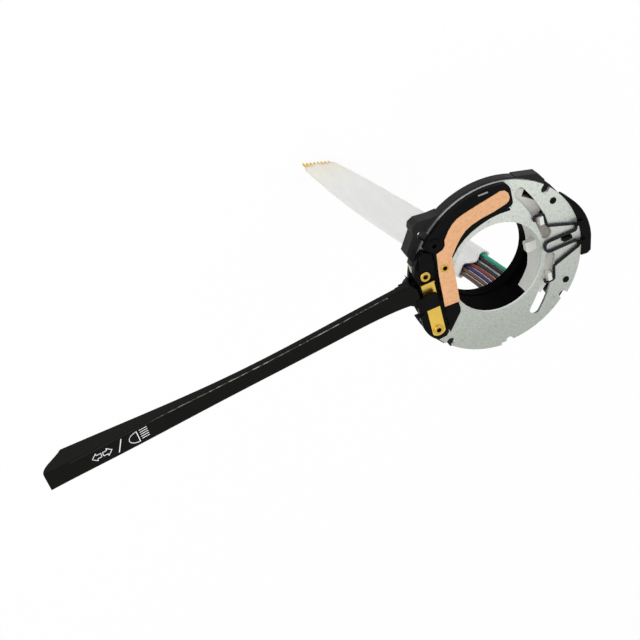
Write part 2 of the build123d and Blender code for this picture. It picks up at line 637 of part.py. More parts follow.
# ---- horn contact strip: copper, flat on the carrier ----------------------------------------
with BuildPart() as horn_contact_strip:
    with BuildSketch(Plane.XY.offset(CARRIER_FRONT)):
        with BuildLine():
            round_end = ThreePointArc(*[carrier_place(*place) for place in STRIP_ROUND_END])
            sides = Polyline(
                round_end @ 1,
                *[carrier_place(*place) for place in STRIP_OUTER],
                (bar_left + 0.2, 15.0),
                (bar_left - 0.4, 3.0),
                (bar_left - 0.4, STRIP_FOOT_Y[0]),
                (bar_right - 0.3, STRIP_FOOT_Y[1]),
                (bar_right + 0.4, 3.0),
                (bar_right + 0.6, 16.2),
            )
            bend = ThreePointArc(sides @ 1, *[carrier_place(*place) for place in STRIP_BEND])
            Line(bend @ 1, round_end @ 0)
        make_face()
    extrude(amount=STRIP_T)
    with BuildSketch(Plane.XY.offset(CARRIER_FRONT)):
        with Locations(STRIP_EYELET):
            Circle(EYELET_SHANK_R)
    extrude(amount=STRIP_T, mode=Mode.SUBTRACT)
save(horn_contact_strip, "horn_contact_strip")

STRIP_FRONT = CARRIER_FRONT + STRIP_T
with BuildPart() as strip_eyelet:
    with Locations((*STRIP_EYELET, CARRIER_FRONT - EYELET_DEPTH)):
        Cylinder(EYELET_SHANK_R, EYELET_DEPTH + STRIP_T, align=UPWARD)
    with Locations((*STRIP_EYELET, STRIP_FRONT)):
        Cylinder(EYELET_R, EYELET_HEAD_T, align=UPWARD)
    with Locations((*STRIP_EYELET, STRIP_FRONT + EYELET_HEAD_T)):
        Cylinder(EYELET_HOLE_R, EYELET_DEPTH + STRIP_T, align=DOWNWARD, mode=Mode.SUBTRACT)
    chamfer(strip_eyelet.edges().filter_by(GeomType.CIRCLE).group_by(Axis.Z)[-1], EYELET_HEAD_T / 3)
save(strip_eyelet, "strip_eyelet")

# ---- flasher leaf on its base ---------------------------------------------------------------
LEAF_BACK = PLATE_FRONT + LEAF_BASE_T
LEAF_FRONT = LEAF_BACK + LEAF_T
with BuildPart() as leaf_base:
    with BuildSketch(Plane.XY.offset(PLATE_FRONT)):
        with BuildLine():
            edge = Polyline(*from_left_edge(LEAF_BASE_OUTLINE))
            ThreePointArc(edge @ 1, *from_left_edge([LEAF_BASE_ROUND]), edge @ 0)
        make_face()
        with Locations(LOWER_RIVET):
            Circle(RIVET_SHANK_R, mode=Mode.SUBTRACT)
    extrude(amount=LEAF_BASE_T)
save(leaf_base, "leaf_base")

leaf_left, leaf_right = LEAF_X
leaf_bottom, leaf_top = LEAF_Y
leaf_width = leaf_right - leaf_left
leaf_middle = (leaf_left + leaf_right) / 2
leaf_end = leaf_bottom + LEAF_END_ROUND
with BuildPart() as flasher_leaf:
    with BuildSketch(Plane.XY.offset(LEAF_BACK)):
        with BuildLine():
            Polyline(
                (leaf_left, leaf_end),
                (leaf_left, leaf_top),
                (leaf_right, leaf_top),
                (leaf_right, leaf_end),
            )
            ThreePointArc((leaf_right, leaf_end), (leaf_middle, leaf_bottom), (leaf_left, leaf_end))
        make_face()
        with Locations(LOWER_RIVET):
            Circle(RIVET_SHANK_R, mode=Mode.SUBTRACT)
    extrude(amount=LEAF_T)
    with BuildSketch(Plane.XY.offset(LEAF_FRONT)):
        with Locations((leaf_middle, leaf_top - LEAF_T / 2)):
            Rectangle(leaf_width, LEAF_T)
    extrude(amount=LEAF_LIP_H)
save(flasher_leaf, "flasher_leaf")


def tubular_rivet(place, seat_z, shank_end_z):
    """Hollow rivet with its rolled head on seat_z."""
    with BuildPart() as rivet:
        with Locations((*place, seat_z)):
            Cylinder(RIVET_R, RIVET_HEAD_T, align=UPWARD)
            Cylinder(RIVET_SHANK_R, seat_z - shank_end_z, align=DOWNWARD)
        fillet(rivet.edges().filter_by(GeomType.CIRCLE).group_by(Axis.Z)[-1], RIVET_HEAD_T * 0.6)
        with Locations((*place, seat_z + RIVET_HEAD_T)):
            hole_depth = seat_z + RIVET_HEAD_T - shank_end_z
            Cylinder(RIVET_HOLE_R, hole_depth, align=DOWNWARD, mode=Mode.SUBTRACT)
    return rivet


leaf_rivet = tubular_rivet(LOWER_RIVET, LEAF_FRONT, PLATE_FRONT)
save(leaf_rivet, "leaf_rivet")

# ---- guide block over the lever root --------------------------------------------------------
GUIDE_FRONT = PLATE_FRONT + GUIDE_T
with BuildPart() as guide_block:
    with BuildSketch(Plane.XY.offset(PLATE_FRONT)):
        add(outline(*from_left_edge(GUIDE_OUTLINE)))
        with Locations(UPPER_RIVET):
            Circle(RIVET_SHANK_R, mode=Mode.SUBTRACT)
    extrude(amount=GUIDE_T)
    with BuildSketch(Plane.XY.offset(GUIDE_FRONT)):
        add(outline(*from_left_edge(GUIDE_STEP_OUTLINE)))
    extrude(amount=GUIDE_STEP)
save(guide_block, "guide_block")

guide_rivet = tubular_rivet(UPPER_RIVET, GUIDE_FRONT, PLATE_FRONT)
save(guide_rivet, "guide_rivet")

# ---- turn ring: white nylon, turns about the column axis ------------------------------------
drive_angle = degrees(atan2(PIVOT[1], PIVOT[0]))
with BuildPart() as turn_ring:
    with BuildSketch(Plane.XY.offset(RING_BACK)):
        add(sector(RING_IN_R, RING_OUT_R, RING_START, RING_STEP_START))
        # wide sectors that close the upper cam slot from behind
        add(sector(RING_OUT_R - 1, BOSS_RING_R - BOSS_R - SECTOR_GAP, WIDE_START, WIDE_END))
        add(sector(RING_OUT_R - 1, HOUSING_R - HOUSING_WALL - WALL_GAP, WIDEST_START, WIDE_END))
    extrude(amount=RING_FRONT - RING_BACK)
    with BuildSketch(Plane.XY.offset(RING_BACK)):
        add(sector(RING_IN_R, RING_ARM_R, RING_STEP_START - 1, RING_END))
        with Locations(Location((*polar(DRIVE_RING_R - 2, drive_angle), 0), (0, 0, drive_angle))):
            slot_reach = 2 * (2 + DRIVE_PIN_R + DRIVE_SLOT_ROOM)
            Rectangle(slot_reach, 2 * (DRIVE_PIN_R + DRIVE_SLOT_GAP), mode=Mode.SUBTRACT)
    extrude(amount=RING_STEP_FRONT - RING_BACK)
    # pad that shows in the collar's window, and the web that carries it
    with BuildSketch(Plane.XY.offset(PAD_BACK)):
        add(sector(PAD_IN_R, PAD_OUT_R, PAD_START, PAD_END))
    extrude(amount=RING_FRONT - PAD_BACK)
    with BuildSketch(Plane.XY.offset(RING_BACK)):
        add(sector(PAD_OUT_R - 0.2, RING_IN_R + 0.2, RING_START, PAD_END))
    extrude(amount=RING_FRONT - RING_BACK)
    with BuildSketch(Plane.XZ):
        add(outline(*PAD_RAMP, (PAD_RAMP[-1][0], PAD_BACK)))
    extrude(amount=PAD_OUT_R, mode=Mode.SUBTRACT)
    # posts that come up through the cam slots
    with BuildSketch(Plane.XY.offset(RING_FRONT)):
        for place in POST_PLACES:
            with Locations(polar(*place)):
                Rectangle(*POST_SIZE)
    extrude(amount=POST_TOP - RING_FRONT)
    # pocket for the cancelling finger
    with BuildSketch(Plane.XY.offset(FINGER_BACK)):
        with Locations((PAD_IN_R, 0)):
            Rectangle(2 * FINGER_ROOT, FINGER_W)
    extrude(amount=FINGER_T, mode=Mode.SUBTRACT)
    # pockets for the moving contacts
    with BuildSketch(Plane.XY.offset(RING_BACK)):
        for first, last in BRIDGE_SPANS:
            add(sector(BRIDGE_IN_R, BRIDGE_OUT_R, first, last))
    extrude(amount=BRIDGE_T, mode=Mode.SUBTRACT)
save(turn_ring, "turn_ring")

with BuildPart() as bridge_contacts:
    with BuildSketch(Plane.XY.offset(RING_BACK)):
        for first, last in BRIDGE_SPANS:
            add(sector(BRIDGE_IN_R, BRIDGE_OUT_R, first, last))
    extrude(amount=BRIDGE_T)
save(bridge_contacts, "bridge_contacts")

with BuildPart() as cancel_finger:
    with BuildSketch(Plane.XY.offset(FINGER_BACK)):
        with Locations(((FINGER_IN_R + PAD_IN_R + FINGER_ROOT) / 2, 0)):
            Rectangle(PAD_IN_R + FINGER_ROOT - FINGER_IN_R, FINGER_W)
    extrude(amount=FINGER_T)
    fillet(cancel_finger.edges().filter_by(Axis.Z).group_by(Axis.X)[0], 0.5)
save(cancel_finger, "cancel_finger")

# ---- lever yoke: turns about the pivot, drives the ring -------------------------------------
arm_turn = drive_angle - 180
pivot_reach = sqrt(PIVOT[0] ** 2 + PIVOT[1] ** 2)
drive_reach = pivot_reach - DRIVE_RING_R
arm_low_reach = pivot_reach - RING_ARM_R - 0.8
tongue_back = RING_STEP_FRONT + SLIDE_GAP
ear_low = TONGUE_Y - TONGUE_W / 2 - SLIDE_GAP - EAR_T
ear_high = TONGUE_Y + TONGUE_W / 2 + SLIDE_GAP
body_y = (ear_low, ear_high + EAR_T)
pivot_place = Location((*PIVOT, 0), (0, 0, arm_turn))
with BuildPart() as lever_yoke:
    with BuildSketch(Plane.XY.offset(RING_BACK)):
        with Locations((YOKE_BODY_X, (body_y[0] + body_y[1]) / 2)):
            Rectangle(YOKE_BODY_L, body_y[1] - body_y[0])
        with Locations(pivot_place):
            Rectangle(arm_low_reach, YOKE_ARM_W, align=(Align.MIN, Align.CENTER))
    extrude(amount=YOKE_BODY_TOP - RING_BACK)
    with BuildSketch(Plane.XY.offset(tongue_back)):
        with Locations(pivot_place):
            Rectangle(drive_reach + 1.5, YOKE_ARM_W, align=(Align.MIN, Align.CENTER))
    extrude(amount=RING_FRONT - tongue_back)
    with BuildSketch(Plane.XY.offset(RING_BACK)):
        with Locations(PIVOT):
            Circle(YOKE_BOSS_R)
    extrude(amount=PLATE_FRONT - SLIDE_GAP - RING_BACK)
    # two ears that hold the tilt pin
    for ear_y in (ear_low, ear_high):
        with BuildSketch(Plane.XZ.offset(-ear_y)):
            with Locations((TILT_X, TILT_Z)):
                Circle(TILT_PIN_R + 0.5)
            with Locations((TILT_X, RING_BACK)):
                Rectangle(2 * TILT_PIN_R + 1.0, TILT_Z - RING_BACK, align=(Align.CENTER, Align.MIN))
            with Locations((TILT_X, RING_BACK)):
                Rectangle(YOKE_BODY_X - TILT_X, 2.6, align=(Align.MIN, Align.MIN))
        extrude(amount=-EAR_T)
    with BuildSketch(Plane.XZ.offset(-ear_low)):
        with Locations((TILT_X, TILT_Z)):
            Circle(TILT_PIN_R)
    extrude(amount=-(body_y[1] - body_y[0]), mode=Mode.SUBTRACT)
    # bores for the pivot pin, the drive pin and the detent ball
    with BuildSketch(Plane.XY.offset(RING_BACK)):
        with Locations(PIVOT):
            Circle(PIVOT_R + RUN_CLEARANCE)
        with Locations(pivot_place):
            with Locations((drive_reach, 0)):
                Circle(DRIVE_PIN_R)
    extrude(amount=PLATE_FRONT - RING_BACK, mode=Mode.SUBTRACT)
    with BuildSketch(Plane.XY.offset(RING_BACK)):
        with Locations(pivot_place):
            with Locations((DETENT_R, 0)):
                Circle(DETENT_BALL_R + SEAT_GAP)
    extrude(amount=DETENT_BORE_DEPTH, mode=Mode.SUBTRACT)
save(lever_yoke, "lever_yoke")

with BuildPart() as pivot_pin:
    with Locations((*PIVOT, FLOOR_BACK - PIVOT_BOSS_H)):
        Cylinder(PIVOT_HEAD_R, PIVOT_HEAD_T, align=(Align.CENTER, Align.CENTER, Align.MAX))
        pin_length = PLATE_FRONT - SLIDE_GAP - FLOOR_BACK + PIVOT_BOSS_H
        Cylinder(PIVOT_R, pin_length, align=(Align.CENTER, Align.CENTER, Align.MIN))
save(pivot_pin, "pivot_pin")

with BuildPart() as drive_pin:
    with BuildSketch(Plane.XY.offset(RING_BACK + SLIDE_GAP)):
        with Locations(pivot_place):
            with Locations((drive_reach, 0)):
                Circle(DRIVE_PIN_R)
    extrude(amount=RING_FRONT - RING_BACK - SLIDE_GAP)
save(drive_pin, "drive_pin")

DETENT_BALL_Z = FLOOR_FRONT - (DETENT_BALL_R - 0.7) + SLIDE_GAP + DETENT_BALL_R
detent_x = PIVOT[0] + DETENT_R * cos(radians(arm_turn))
detent_y = PIVOT[1] + DETENT_R * sin(radians(arm_turn))
with BuildPart() as detent_ball:
    with Locations((detent_x, detent_y, DETENT_BALL_Z)):
        Sphere(DETENT_BALL_R)
save(detent_ball, "detent_ball")

spring_base = DETENT_BALL_Z + DETENT_BALL_R + DETENT_SPRING_WIRE_R
spring_height = RING_BACK + DETENT_BORE_DEPTH - spring_base - DETENT_SPRING_WIRE_R
with BuildPart() as detent_spring:
    with BuildLine(Plane((detent_x, detent_y, spring_base))):
        coil = Helix(spring_height / DETENT_SPRING_TURNS, spring_height, DETENT_SPRING_R)
    with BuildSketch(Plane(origin=coil @ 0, z_dir=coil % 0)):
        Circle(DETENT_SPRING_WIRE_R)
    sweep(path=coil.edge(), is_frenet=True)
save(detent_spring, "detent_spring")

# ---- lever: steel core in a moulded arm with its head ---------------------------------------
lever_direction = Vector(-1, 0, LEVER_SLOPE).normalized()


def lever_plane(reach, shift=0.0):
    """Plane across the lever at a distance from its root."""
    origin = Vector(*LEVER_ROOT) + lever_direction * reach + Vector(0, shift, 0)
    return Plane(origin=origin, x_dir=(0, 1, 0), z_dir=lever_direction)


def from_pivot(places):
    return [(PIVOT[0] + across, y) for across, y in places]


with BuildPart() as lever_core:
    with BuildSketch(lever_plane(CORE_START)):
        Rectangle(CORE_W, CORE_T)
    extrude(amount=CORE_REACH - CORE_START)
save(lever_core, "lever_core")

nose_low, nose_high = NOSE_Y
with BuildPart() as lever_arm:
    for reach, width, thickness, shift in LEVER_SECTIONS:
        with BuildSketch(lever_plane(reach, shift)):
            RectangleRounded(width, thickness, LEVER_CORNER_R)
    loft()
    # end face of the tip, rounded over from the front face to the back
    tip_origin = lever_plane(reach, shift).origin
    with BuildSketch(Plane(origin=tip_origin, x_dir=lever_direction, z_dir=(0, 1, 0))):
        with BuildLine():
            profile = Spline(*[(-set_back, thickness / 2 - depth) for set_back, depth in TIP_PROFILE])
            Polyline(
                profile @ 1,
                profile @ 1 - Vector(TIP_MARGIN, TIP_MARGIN),
                (TIP_MARGIN, -thickness),
                (TIP_MARGIN, thickness),
                (0, thickness),
                profile @ 0,
            )
        make_face()
    extrude(amount=width, both=True, mode=Mode.SUBTRACT)
    # head that covers the root, and the tongue for the tilt pin
    with BuildSketch(Plane.XY.offset(HEAD_BACK)):
        with BuildLine():
            head_side = Polyline(
                *from_pivot(HEAD_UPPER),
                (HEAD_RIGHT, HEAD_CORNER_Y),
                (HEAD_RIGHT, nose_low),
                *from_pivot([HEAD_FOOT]),
            )
            ThreePointArc(head_side @ 1, *from_pivot([HEAD_HOLLOW]), head_side @ 0)
        make_face()
    extrude(amount=HEAD_FRONT - HEAD_BACK)
    with BuildSketch(Plane.XZ.offset(-(TONGUE_Y - TONGUE_W / 2))):
        with Locations((TILT_X, TILT_Z)):
            Circle(TONGUE_HALF)
        with Locations((TILT_X, TILT_Z)):
            Rectangle(2 * TONGUE_HALF, HEAD_BACK + 0.5 - TILT_Z, align=(Align.CENTER, Align.MIN))
    extrude(amount=-TONGUE_W)
    with BuildSketch(Plane.XZ.offset(-body_y[0])):
        with Locations((TILT_X, TILT_Z)):
            Circle(TILT_PIN_R + RUN_CLEARANCE)
    extrude(amount=-(body_y[1] - body_y[0]), mode=Mode.SUBTRACT)
    # pocket for the core
    with BuildSketch(lever_plane(CORE_START - CORE_GAP)):
        Rectangle(CORE_W + 2 * CORE_GAP, CORE_T + 2 * CORE_GAP)
    extrude(amount=CORE_REACH - CORE_START + 2 * CORE_GAP, mode=Mode.SUBTRACT)
    # seat for the contact pusher
    with BuildSketch(Plane.XY.offset(NOSE_BACK)):
        with Locations((HEAD_RIGHT, (nose_low + nose_high) / 2)):
            Rectangle(2 * PUSHER_SEAT, nose_high - nose_low)
    extrude(amount=HEAD_FRONT - NOSE_BACK, mode=Mode.SUBTRACT)
save(lever_arm, "lever_arm")

with BuildPart() as contact_pusher:
    with BuildSketch(Plane.XY.offset(NOSE_BACK)):
        with Locations((HEAD_RIGHT - PUSHER_SEAT, (nose_low + nose_high) / 2)):
            pusher_length = NOSE_RIGHT - HEAD_RIGHT + PUSHER_SEAT
            Rectangle(pusher_length, nose_high - nose_low, align=(Align.MIN, Align.CENTER))
    extrude(amount=NOSE_FRONT - NOSE_BACK)
save(contact_pusher, "contact_pusher")

with BuildPart() as tilt_pin:
    with BuildSketch(Plane.XZ.offset(-body_y[0])):
        with Locations((TILT_X, TILT_Z)):
            Circle(TILT_PIN_R)
    extrude(amount=-(body_y[1] - body_y[0]))
save(tilt_pin, "tilt_pin")

# ---- return spring of the turn ring: one bent wire ------------------------------------------
loop_start, loop_end = SPRING_LOOP_X
nose_x, nose_y = SPRING_NOSE
spring_half = ((nose_x, nose_y), (loop_start, nose_y), (loop_end, SPRING_LOOP_Y), *SPRING_LEG)
upper_half = [(x, y, SPRING_Z) for x, y in spring_half]
lower_half = [(x, -y, SPRING_Z) for x, y in reversed(spring_half)]
spring_bends = [*reversed(SPRING_BENDS), SPRING_NOSE_BEND, SPRING_NOSE_BEND, *SPRING_BENDS]
with BuildPart() as return_spring:
    with BuildLine():
        wire_path = FilletPolyline(*lower_half, *upper_half, radius=spring_bends)
    with BuildSketch(Plane(origin=wire_path @ 0, z_dir=wire_path % 0)):
        Circle(SPRING_WIRE_R)
    sweep(path=wire_path.wire())
save(return_spring, "return_spring")


# ---- wiring: a flat row of wires that hangs down beside the column ---------------------------
def wire_point(station, number):
    """Place of one wire's centre at a station of the row."""
    height, middle_x, middle_y, turn = station
    across = WIRE_PITCH * (number - (len(WIRE_NAMES) - 1) / 2)
    return Vector(middle_x - across * cos(radians(turn)), middle_y - across * sin(radians(turn)), height)


def bend_radii(points):
    """Radius of each bend: 0.45 of the shorter run over the tangent of half the turn."""
    radii = []
    for before, corner, after in zip(points, points[1:], points[2:]):
        run_in = corner - before
        run_out = after - corner
        half_turn = radians(run_in.get_angle(run_out)) / 2
        radii.append(0.45 * min(run_in.length, run_out.length) / tan(half_turn))
    return radii


wire_ends = []
for number, colour in enumerate(WIRE_NAMES):
    points = [wire_point(station, number) for station in WIRE_STATIONS]
    radii = bend_radii(points)
    with BuildPart() as wire:
        with BuildLine():
            route = FilletPolyline(*points, radius=radii)
        with BuildSketch(Plane(origin=route @ 0, z_dir=route % 0)):
            Circle(WIRE_R)
        sweep(path=route.wire())
    wire_ends.append((points[-1], (points[-1] - points[-2]).normalized()))
    print(f"wire {colour}: {route.wire().length:.1f} mm, least bend {min(radii):.1f} mm")
    save(wire, f"wire_{colour}")

# tags that the wires are soldered to, under the housing's shelf
with BuildPart() as solder_tags:
    for number in range(len(WIRE_NAMES)):
        top = wire_point(WIRE_STATIONS[0], number)
        with Locations((top.X, top.Y, FLOOR_BACK)):
            tag_length = FLOOR_BACK - top.Z - TAG_GAP
            Cylinder(TAG_R, tag_length, align=DOWNWARD)
save(solder_tags, "solder_tags")

inside_width = WIRE_PITCH * (len(WIRE_NAMES) - 1) + 2 * WIRE_R + SLEEVE_SIDE_ROOM
inside_height = 2 * WIRE_R + SLEEVE_ROOM
sleeve_stations = WIRE_STATIONS[FIRST_SLEEVE_STATION:]
with BuildPart() as harness_sleeve:
    for wall, mode in ((SLEEVE_WALL, Mode.ADD), (0.0, Mode.SUBTRACT)):
        for height, middle_x, middle_y, turn in sleeve_stations:
            with BuildSketch(Plane.XY.offset(height)):
                with Locations(Location((middle_x, middle_y, 0), (0, 0, turn))):
                    SlotOverall(inside_width + 2 * wall, inside_height + 2 * wall)
        loft(ruled=True, mode=mode)
save(harness_sleeve, "harness_sleeve")

with BuildPart() as wire_terminals:
    for end, direction in wire_ends:
        with BuildSketch(Plane(origin=end, x_dir=(0, 1, 0), z_dir=direction)):
            Circle(TERMINAL_BARREL_R)
        extrude(amount=TERMINAL_BARREL_L)
        with BuildSketch(Plane(origin=end, x_dir=(0, 1, 0), z_dir=direction)):
            Rectangle(TERMINAL_W, TERMINAL_T)
        extrude(amount=TERMINAL_L)
save(wire_terminals, "wire_terminals")
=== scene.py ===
import json
from math import cos, exp, pi, radians, sin

import bmesh
import bpy
from mathutils import Matrix, Vector
from mathutils.bvhtree import BVHTree

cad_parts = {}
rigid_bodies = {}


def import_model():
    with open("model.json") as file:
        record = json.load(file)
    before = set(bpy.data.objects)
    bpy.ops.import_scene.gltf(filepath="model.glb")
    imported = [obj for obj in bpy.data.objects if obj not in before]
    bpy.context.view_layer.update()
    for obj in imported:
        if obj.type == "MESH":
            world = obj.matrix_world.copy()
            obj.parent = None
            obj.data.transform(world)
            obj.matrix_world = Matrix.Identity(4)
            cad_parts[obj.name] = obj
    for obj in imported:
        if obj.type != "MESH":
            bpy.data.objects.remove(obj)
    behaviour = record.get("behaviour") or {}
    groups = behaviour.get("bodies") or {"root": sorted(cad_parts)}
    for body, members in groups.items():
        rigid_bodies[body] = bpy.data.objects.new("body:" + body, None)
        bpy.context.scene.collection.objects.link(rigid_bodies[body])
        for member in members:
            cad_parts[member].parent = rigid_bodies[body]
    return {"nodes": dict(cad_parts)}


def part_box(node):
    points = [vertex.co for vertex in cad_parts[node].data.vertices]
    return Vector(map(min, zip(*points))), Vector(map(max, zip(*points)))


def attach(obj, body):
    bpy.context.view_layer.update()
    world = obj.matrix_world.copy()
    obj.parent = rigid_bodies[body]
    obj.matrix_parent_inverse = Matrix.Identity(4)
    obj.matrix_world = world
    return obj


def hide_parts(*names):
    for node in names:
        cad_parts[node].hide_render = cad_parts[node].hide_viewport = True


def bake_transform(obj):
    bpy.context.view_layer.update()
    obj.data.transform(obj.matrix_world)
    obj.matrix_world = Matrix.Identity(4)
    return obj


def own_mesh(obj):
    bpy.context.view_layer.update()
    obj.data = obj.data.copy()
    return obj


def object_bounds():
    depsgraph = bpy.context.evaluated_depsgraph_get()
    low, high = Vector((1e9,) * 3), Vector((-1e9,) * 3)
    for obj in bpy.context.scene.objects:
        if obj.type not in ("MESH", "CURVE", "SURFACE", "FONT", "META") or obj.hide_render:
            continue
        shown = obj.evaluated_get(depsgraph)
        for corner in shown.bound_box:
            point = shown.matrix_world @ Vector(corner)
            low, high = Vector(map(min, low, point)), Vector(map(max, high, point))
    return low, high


bl_info = {
    "name": "Combination Stalk Switch",
    "version": (1, 1, 0),
    "blender": (4, 5, 0),
    "location": "View3D > Sidebar > Stalk Switch",
    "description": "Finishes, print, wiring and stage for a column stalk switch",
    "category": "Object",
}

# Lengths are metres unless a name ends in _MM. +Z runs along the column to the steering wheel.
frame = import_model()
NODES = frame["nodes"]
CAD_BOX = [list(corner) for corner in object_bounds()]
MM = 0.001
WELD_MM = 0.002  # corners nearer than this are one corner

# ---- wiring: the row of wires, from their tags to their terminals ----
WIRE_COLOURS = {
    "green": "#1C9C80",
    "black": "#131314",
    "white": "#D4D4D0",
    "grey": "#1C1B1E",
    "red": "#7E2B26",
    "blue": "#252C66",
    "brown": "#6B4A38",
    "violet": "#553D33",
}
WIRE_DIAMETER_MM = 1.9
WIRE_PITCH_MM = 2.15
WIRE_ORDER_MIDDLE = (len(WIRE_COLOURS) - 1) / 2
# height, centre x, centre y and turn in degrees of the flat row
WIRE_STATIONS_MM = (
    (9.0, 9.8, -28.4, 19.0),
    (2.0, 9.4, -27.6, 17.0),
    (-8.0, 7.4, -25.6, 14.0),
    (-26.4, 4.0, -24.0, 15.0),
    (-50.0, 1.6, -24.6, 21.0),
    (-80.0, -1.9, -25.9, 27.0),
    (-118.0, -8.2, -25.7, 18.0),
    (-143.0, -14.4, -22.6, 4.0),
    (-161.0, -20.4, -17.6, -13.0),
)

# where the row runs past the bore it is drawn together, and one wire sinks behind it:
# place across the row and sink of each wire
DRAWN_HEIGHTS_MM = (-8.0, -26.4)
DRAWN_ROW_MM = (
    (-7.5, 0.0), (-5.45, 0.0), (-4.0, 1.35), (-2.55, 0.0), (-0.5, 0.0), (1.6, 0.0), (3.7, 0.0), (5.8, 0.0),
)

# ---- sleeve: a flattened tube around the row ----
SLEEVE_START_MM = -23.2
SLEEVE_WALL_MM = 0.5
SLEEVE_OVERLAP_MM = 2.4  # how far the tube reaches over the terminals
SLEEVE_SIDES = 56
# across the row, a soft ridge stands out and a shallow hollow lies beside it: place, width, height
SLEEVE_WAVES_MM = ((-3.2, 1.4, 0.6), (1.6, 2.6, -0.5), (6.2, 1.6, 0.22))
SLEEVE_FLATNESS = 1.35  # how soon the flat stretches of its section turn into the round sides
SLEEVE_CUT_MM = 1.3  # how far the near end is cut out of true
SLEEVE_CUT_WAVE = (0.62, 0.6)  # radians per mm across, and the start
SLEEVE_CUT_FADE = 4  # sections over which the cut fades
SLEEVE_SLACK_MM = 1.7  # how far the tube bulges past the row, half way along
SLEEVE_SLACK_POWER = 0.7  # under 1, the bulge is blunter than a sine
SLEEVE_AGED_HEIGHTS = (-140 * MM, -161 * MM)

# ---- lever: its front face carries the printed symbols, its edge the parting line ----
LEVER_ROOT_MM = (-45.0, 7.5, 23.3)
LEVER_SLOPE = 0.099
RAY_START_MM = 40.0  # rays towards the lever start this far outside it
PRINT_HEIGHT_MM = 0.03
PARTING_RANGE_MM = (6.0, 146.0)
PARTING_WIDTH_MM = 0.34
PARTING_HEIGHT_MM = 0.04
PARTING_STEPS = 70
PARTING_STAND_OFF_MM = 3.0  # its points stand off the edge before they are cast on to it
SIDE_BELOW_FRONT_MM = 1.2  # the side face is found this far behind the front face
RUBBED_END = (-158 * MM, -142 * MM)

# ---- symbols: reach along the lever from its root, and place across it ----
STROKE_STEPS = 4
ARROWS_MM = ((138.65, 134.9, 1.08), (130.5, 134.2, 0.92))  # tip, tail and middle line
ARROW_HEAD_LENGTH_MM = 1.9
ARROW_HALF_WIDTHS_MM = (1.75, 0.85)  # of head and tail
ARROW_STROKE_MM = 0.27
SLASH_MM = ((125.9, 3.0), (128.4, -1.8))
SLASH_STROKE_MM = 0.38
LAMP_CENTRE_MM = (119.5, 0.3)
LAMP_RADII_MM = (3.8, 2.4)
LAMP_STEPS = 20
LAMP_STROKE_MM = 0.32
BEAM_REACH_MM = (118.3, 115.3)
BEAM_PLACES_MM = (2.6, 1.6, 0.6, -0.4, -1.4)
BEAM_STROKE_MM = 0.26

# ---- horn contact: the copper strip, and the carrier's inner margin that shows beside it ----
STRIP_MM = (
    (5.5, 37.1), (7.6, 36.6), (8.9, 35.0), (9.2, 32.9), (8.6, 31.4), (7.2, 30.6),
    (1.4, 29.4), (-4.8, 28.7), (-9.0, 27.7), (-12.2, 26.3), (-15.0, 24.0), (-17.7, 20.8), (-20.1, 17.4),
    (-21.2, -4.8), (-28.1, -4.4), (-27.5, 11.0), (-26.4, 21.4),
    (-23.4, 22.2), (-22.1, 23.6), (-21.8, 26.0), (-19.4, 29.3), (-17.1, 31.6), (-14.6, 33.1), (-11.2, 34.1),
    (-4.6, 35.4),
)
STRIP_HEIGHTS_MM = (24.6, 25.1)
STRIP_ROUND_MM = 0.12
EYELET_PLACE_MM = (-24.3, 13.6)
EYELET_SHANK_R_MM = 1.4
EYELET_HOLE_SIDES = 24
# inner edge of the margin: radius and angle
MARGIN_MM = (
    (25.6, 141.0), (25.8, 130.0), (25.9, 120.0), (26.0, 111.0),
    (26.2, 101.0), (26.7, 91.0), (27.2, 82.0), (27.9, 72.0),
)
MARGIN_OUTER_R_MM = 28.6
MARGIN_OUTER_STEPS = 12
MARGIN_HEIGHTS_MM = (20.65, 24.55)
MARGIN_ROUND_MM = 0.2

# ---- small forms on the housing and the lever head ----
RIB_MM = ((-3.5, 38.75), (0.8, 38.65), (0.8, 38.3), (-3.5, 38.4))
RIB_HEIGHTS_MM = (23.7, 24.4)
RIB_ROUND_MM = 0.08
REST_MM = ((-35.9, 11.8), (-34.7, 11.8), (-34.7, 15.8), (-35.9, 15.8))
REST_HEIGHTS_MM = (13.8, 16.4)
REST_ROUND_MM = 0.25
SPRING_LEG_MM = ((-37.2, 7.2, 15.4), (-37.6, 8.6, 15.9), (-38.4, 10.4, 16.1), (-39.1, 12.3, 16.0))
SPRING_LEG_TAPER = (1.0, 0.9, 0.6, 0.15)
SPRING_LEG_DIAMETER_MM = 1.1

# ---- finishes: where they change over a piece ----
# a pattern of noise seldom leaves this range
NOISE_LOW = 0.3
NOISE_HIGH = 0.7
EDGE_FLATNESS = 0.6  # a face that looks less along the column than this is a cut edge
PLATE_TONE_RANGE = (-30 * MM, 30 * MM)
HOLE_SHADE_BEYOND_MM = (0.05, 0.2)  # the painted shade of a hole fades between these distances from it
RIVET_HOLES_MM = {"leaf_rivet": 1.0, "guide_rivet": 1.0, "strip_eyelet": 0.9}
# grease and painted shade on the ring, behind the plate: the radii and heights between which they begin,
# # and where along Y they are thickest and how they fade away from there
GREASE_SHADE_RADII = (22.6 * MM, 23.6 * MM)
GREASE_SHADE_HEIGHTS = (19.9 * MM, 19.3 * MM)
GREASE_SHADE_MIDDLE = 7 * MM
GREASE_SHADE_FADE = (6 * MM, 21 * MM)

# ---- camera ----
CAMERA_PLACE_MM = (-140.927, 260.063, 387.590)
CAMERA_RIGHT = (0.90946, -0.25737, 0.32657)
CAMERA_UP = (0.39247, 0.79070, -0.46984)
CAMERA_BACK = (-0.13730, 0.55547, 0.82012)
CAMERA_LENS_MM = 61.875
CAMERA_SENSOR_MM = 36.0

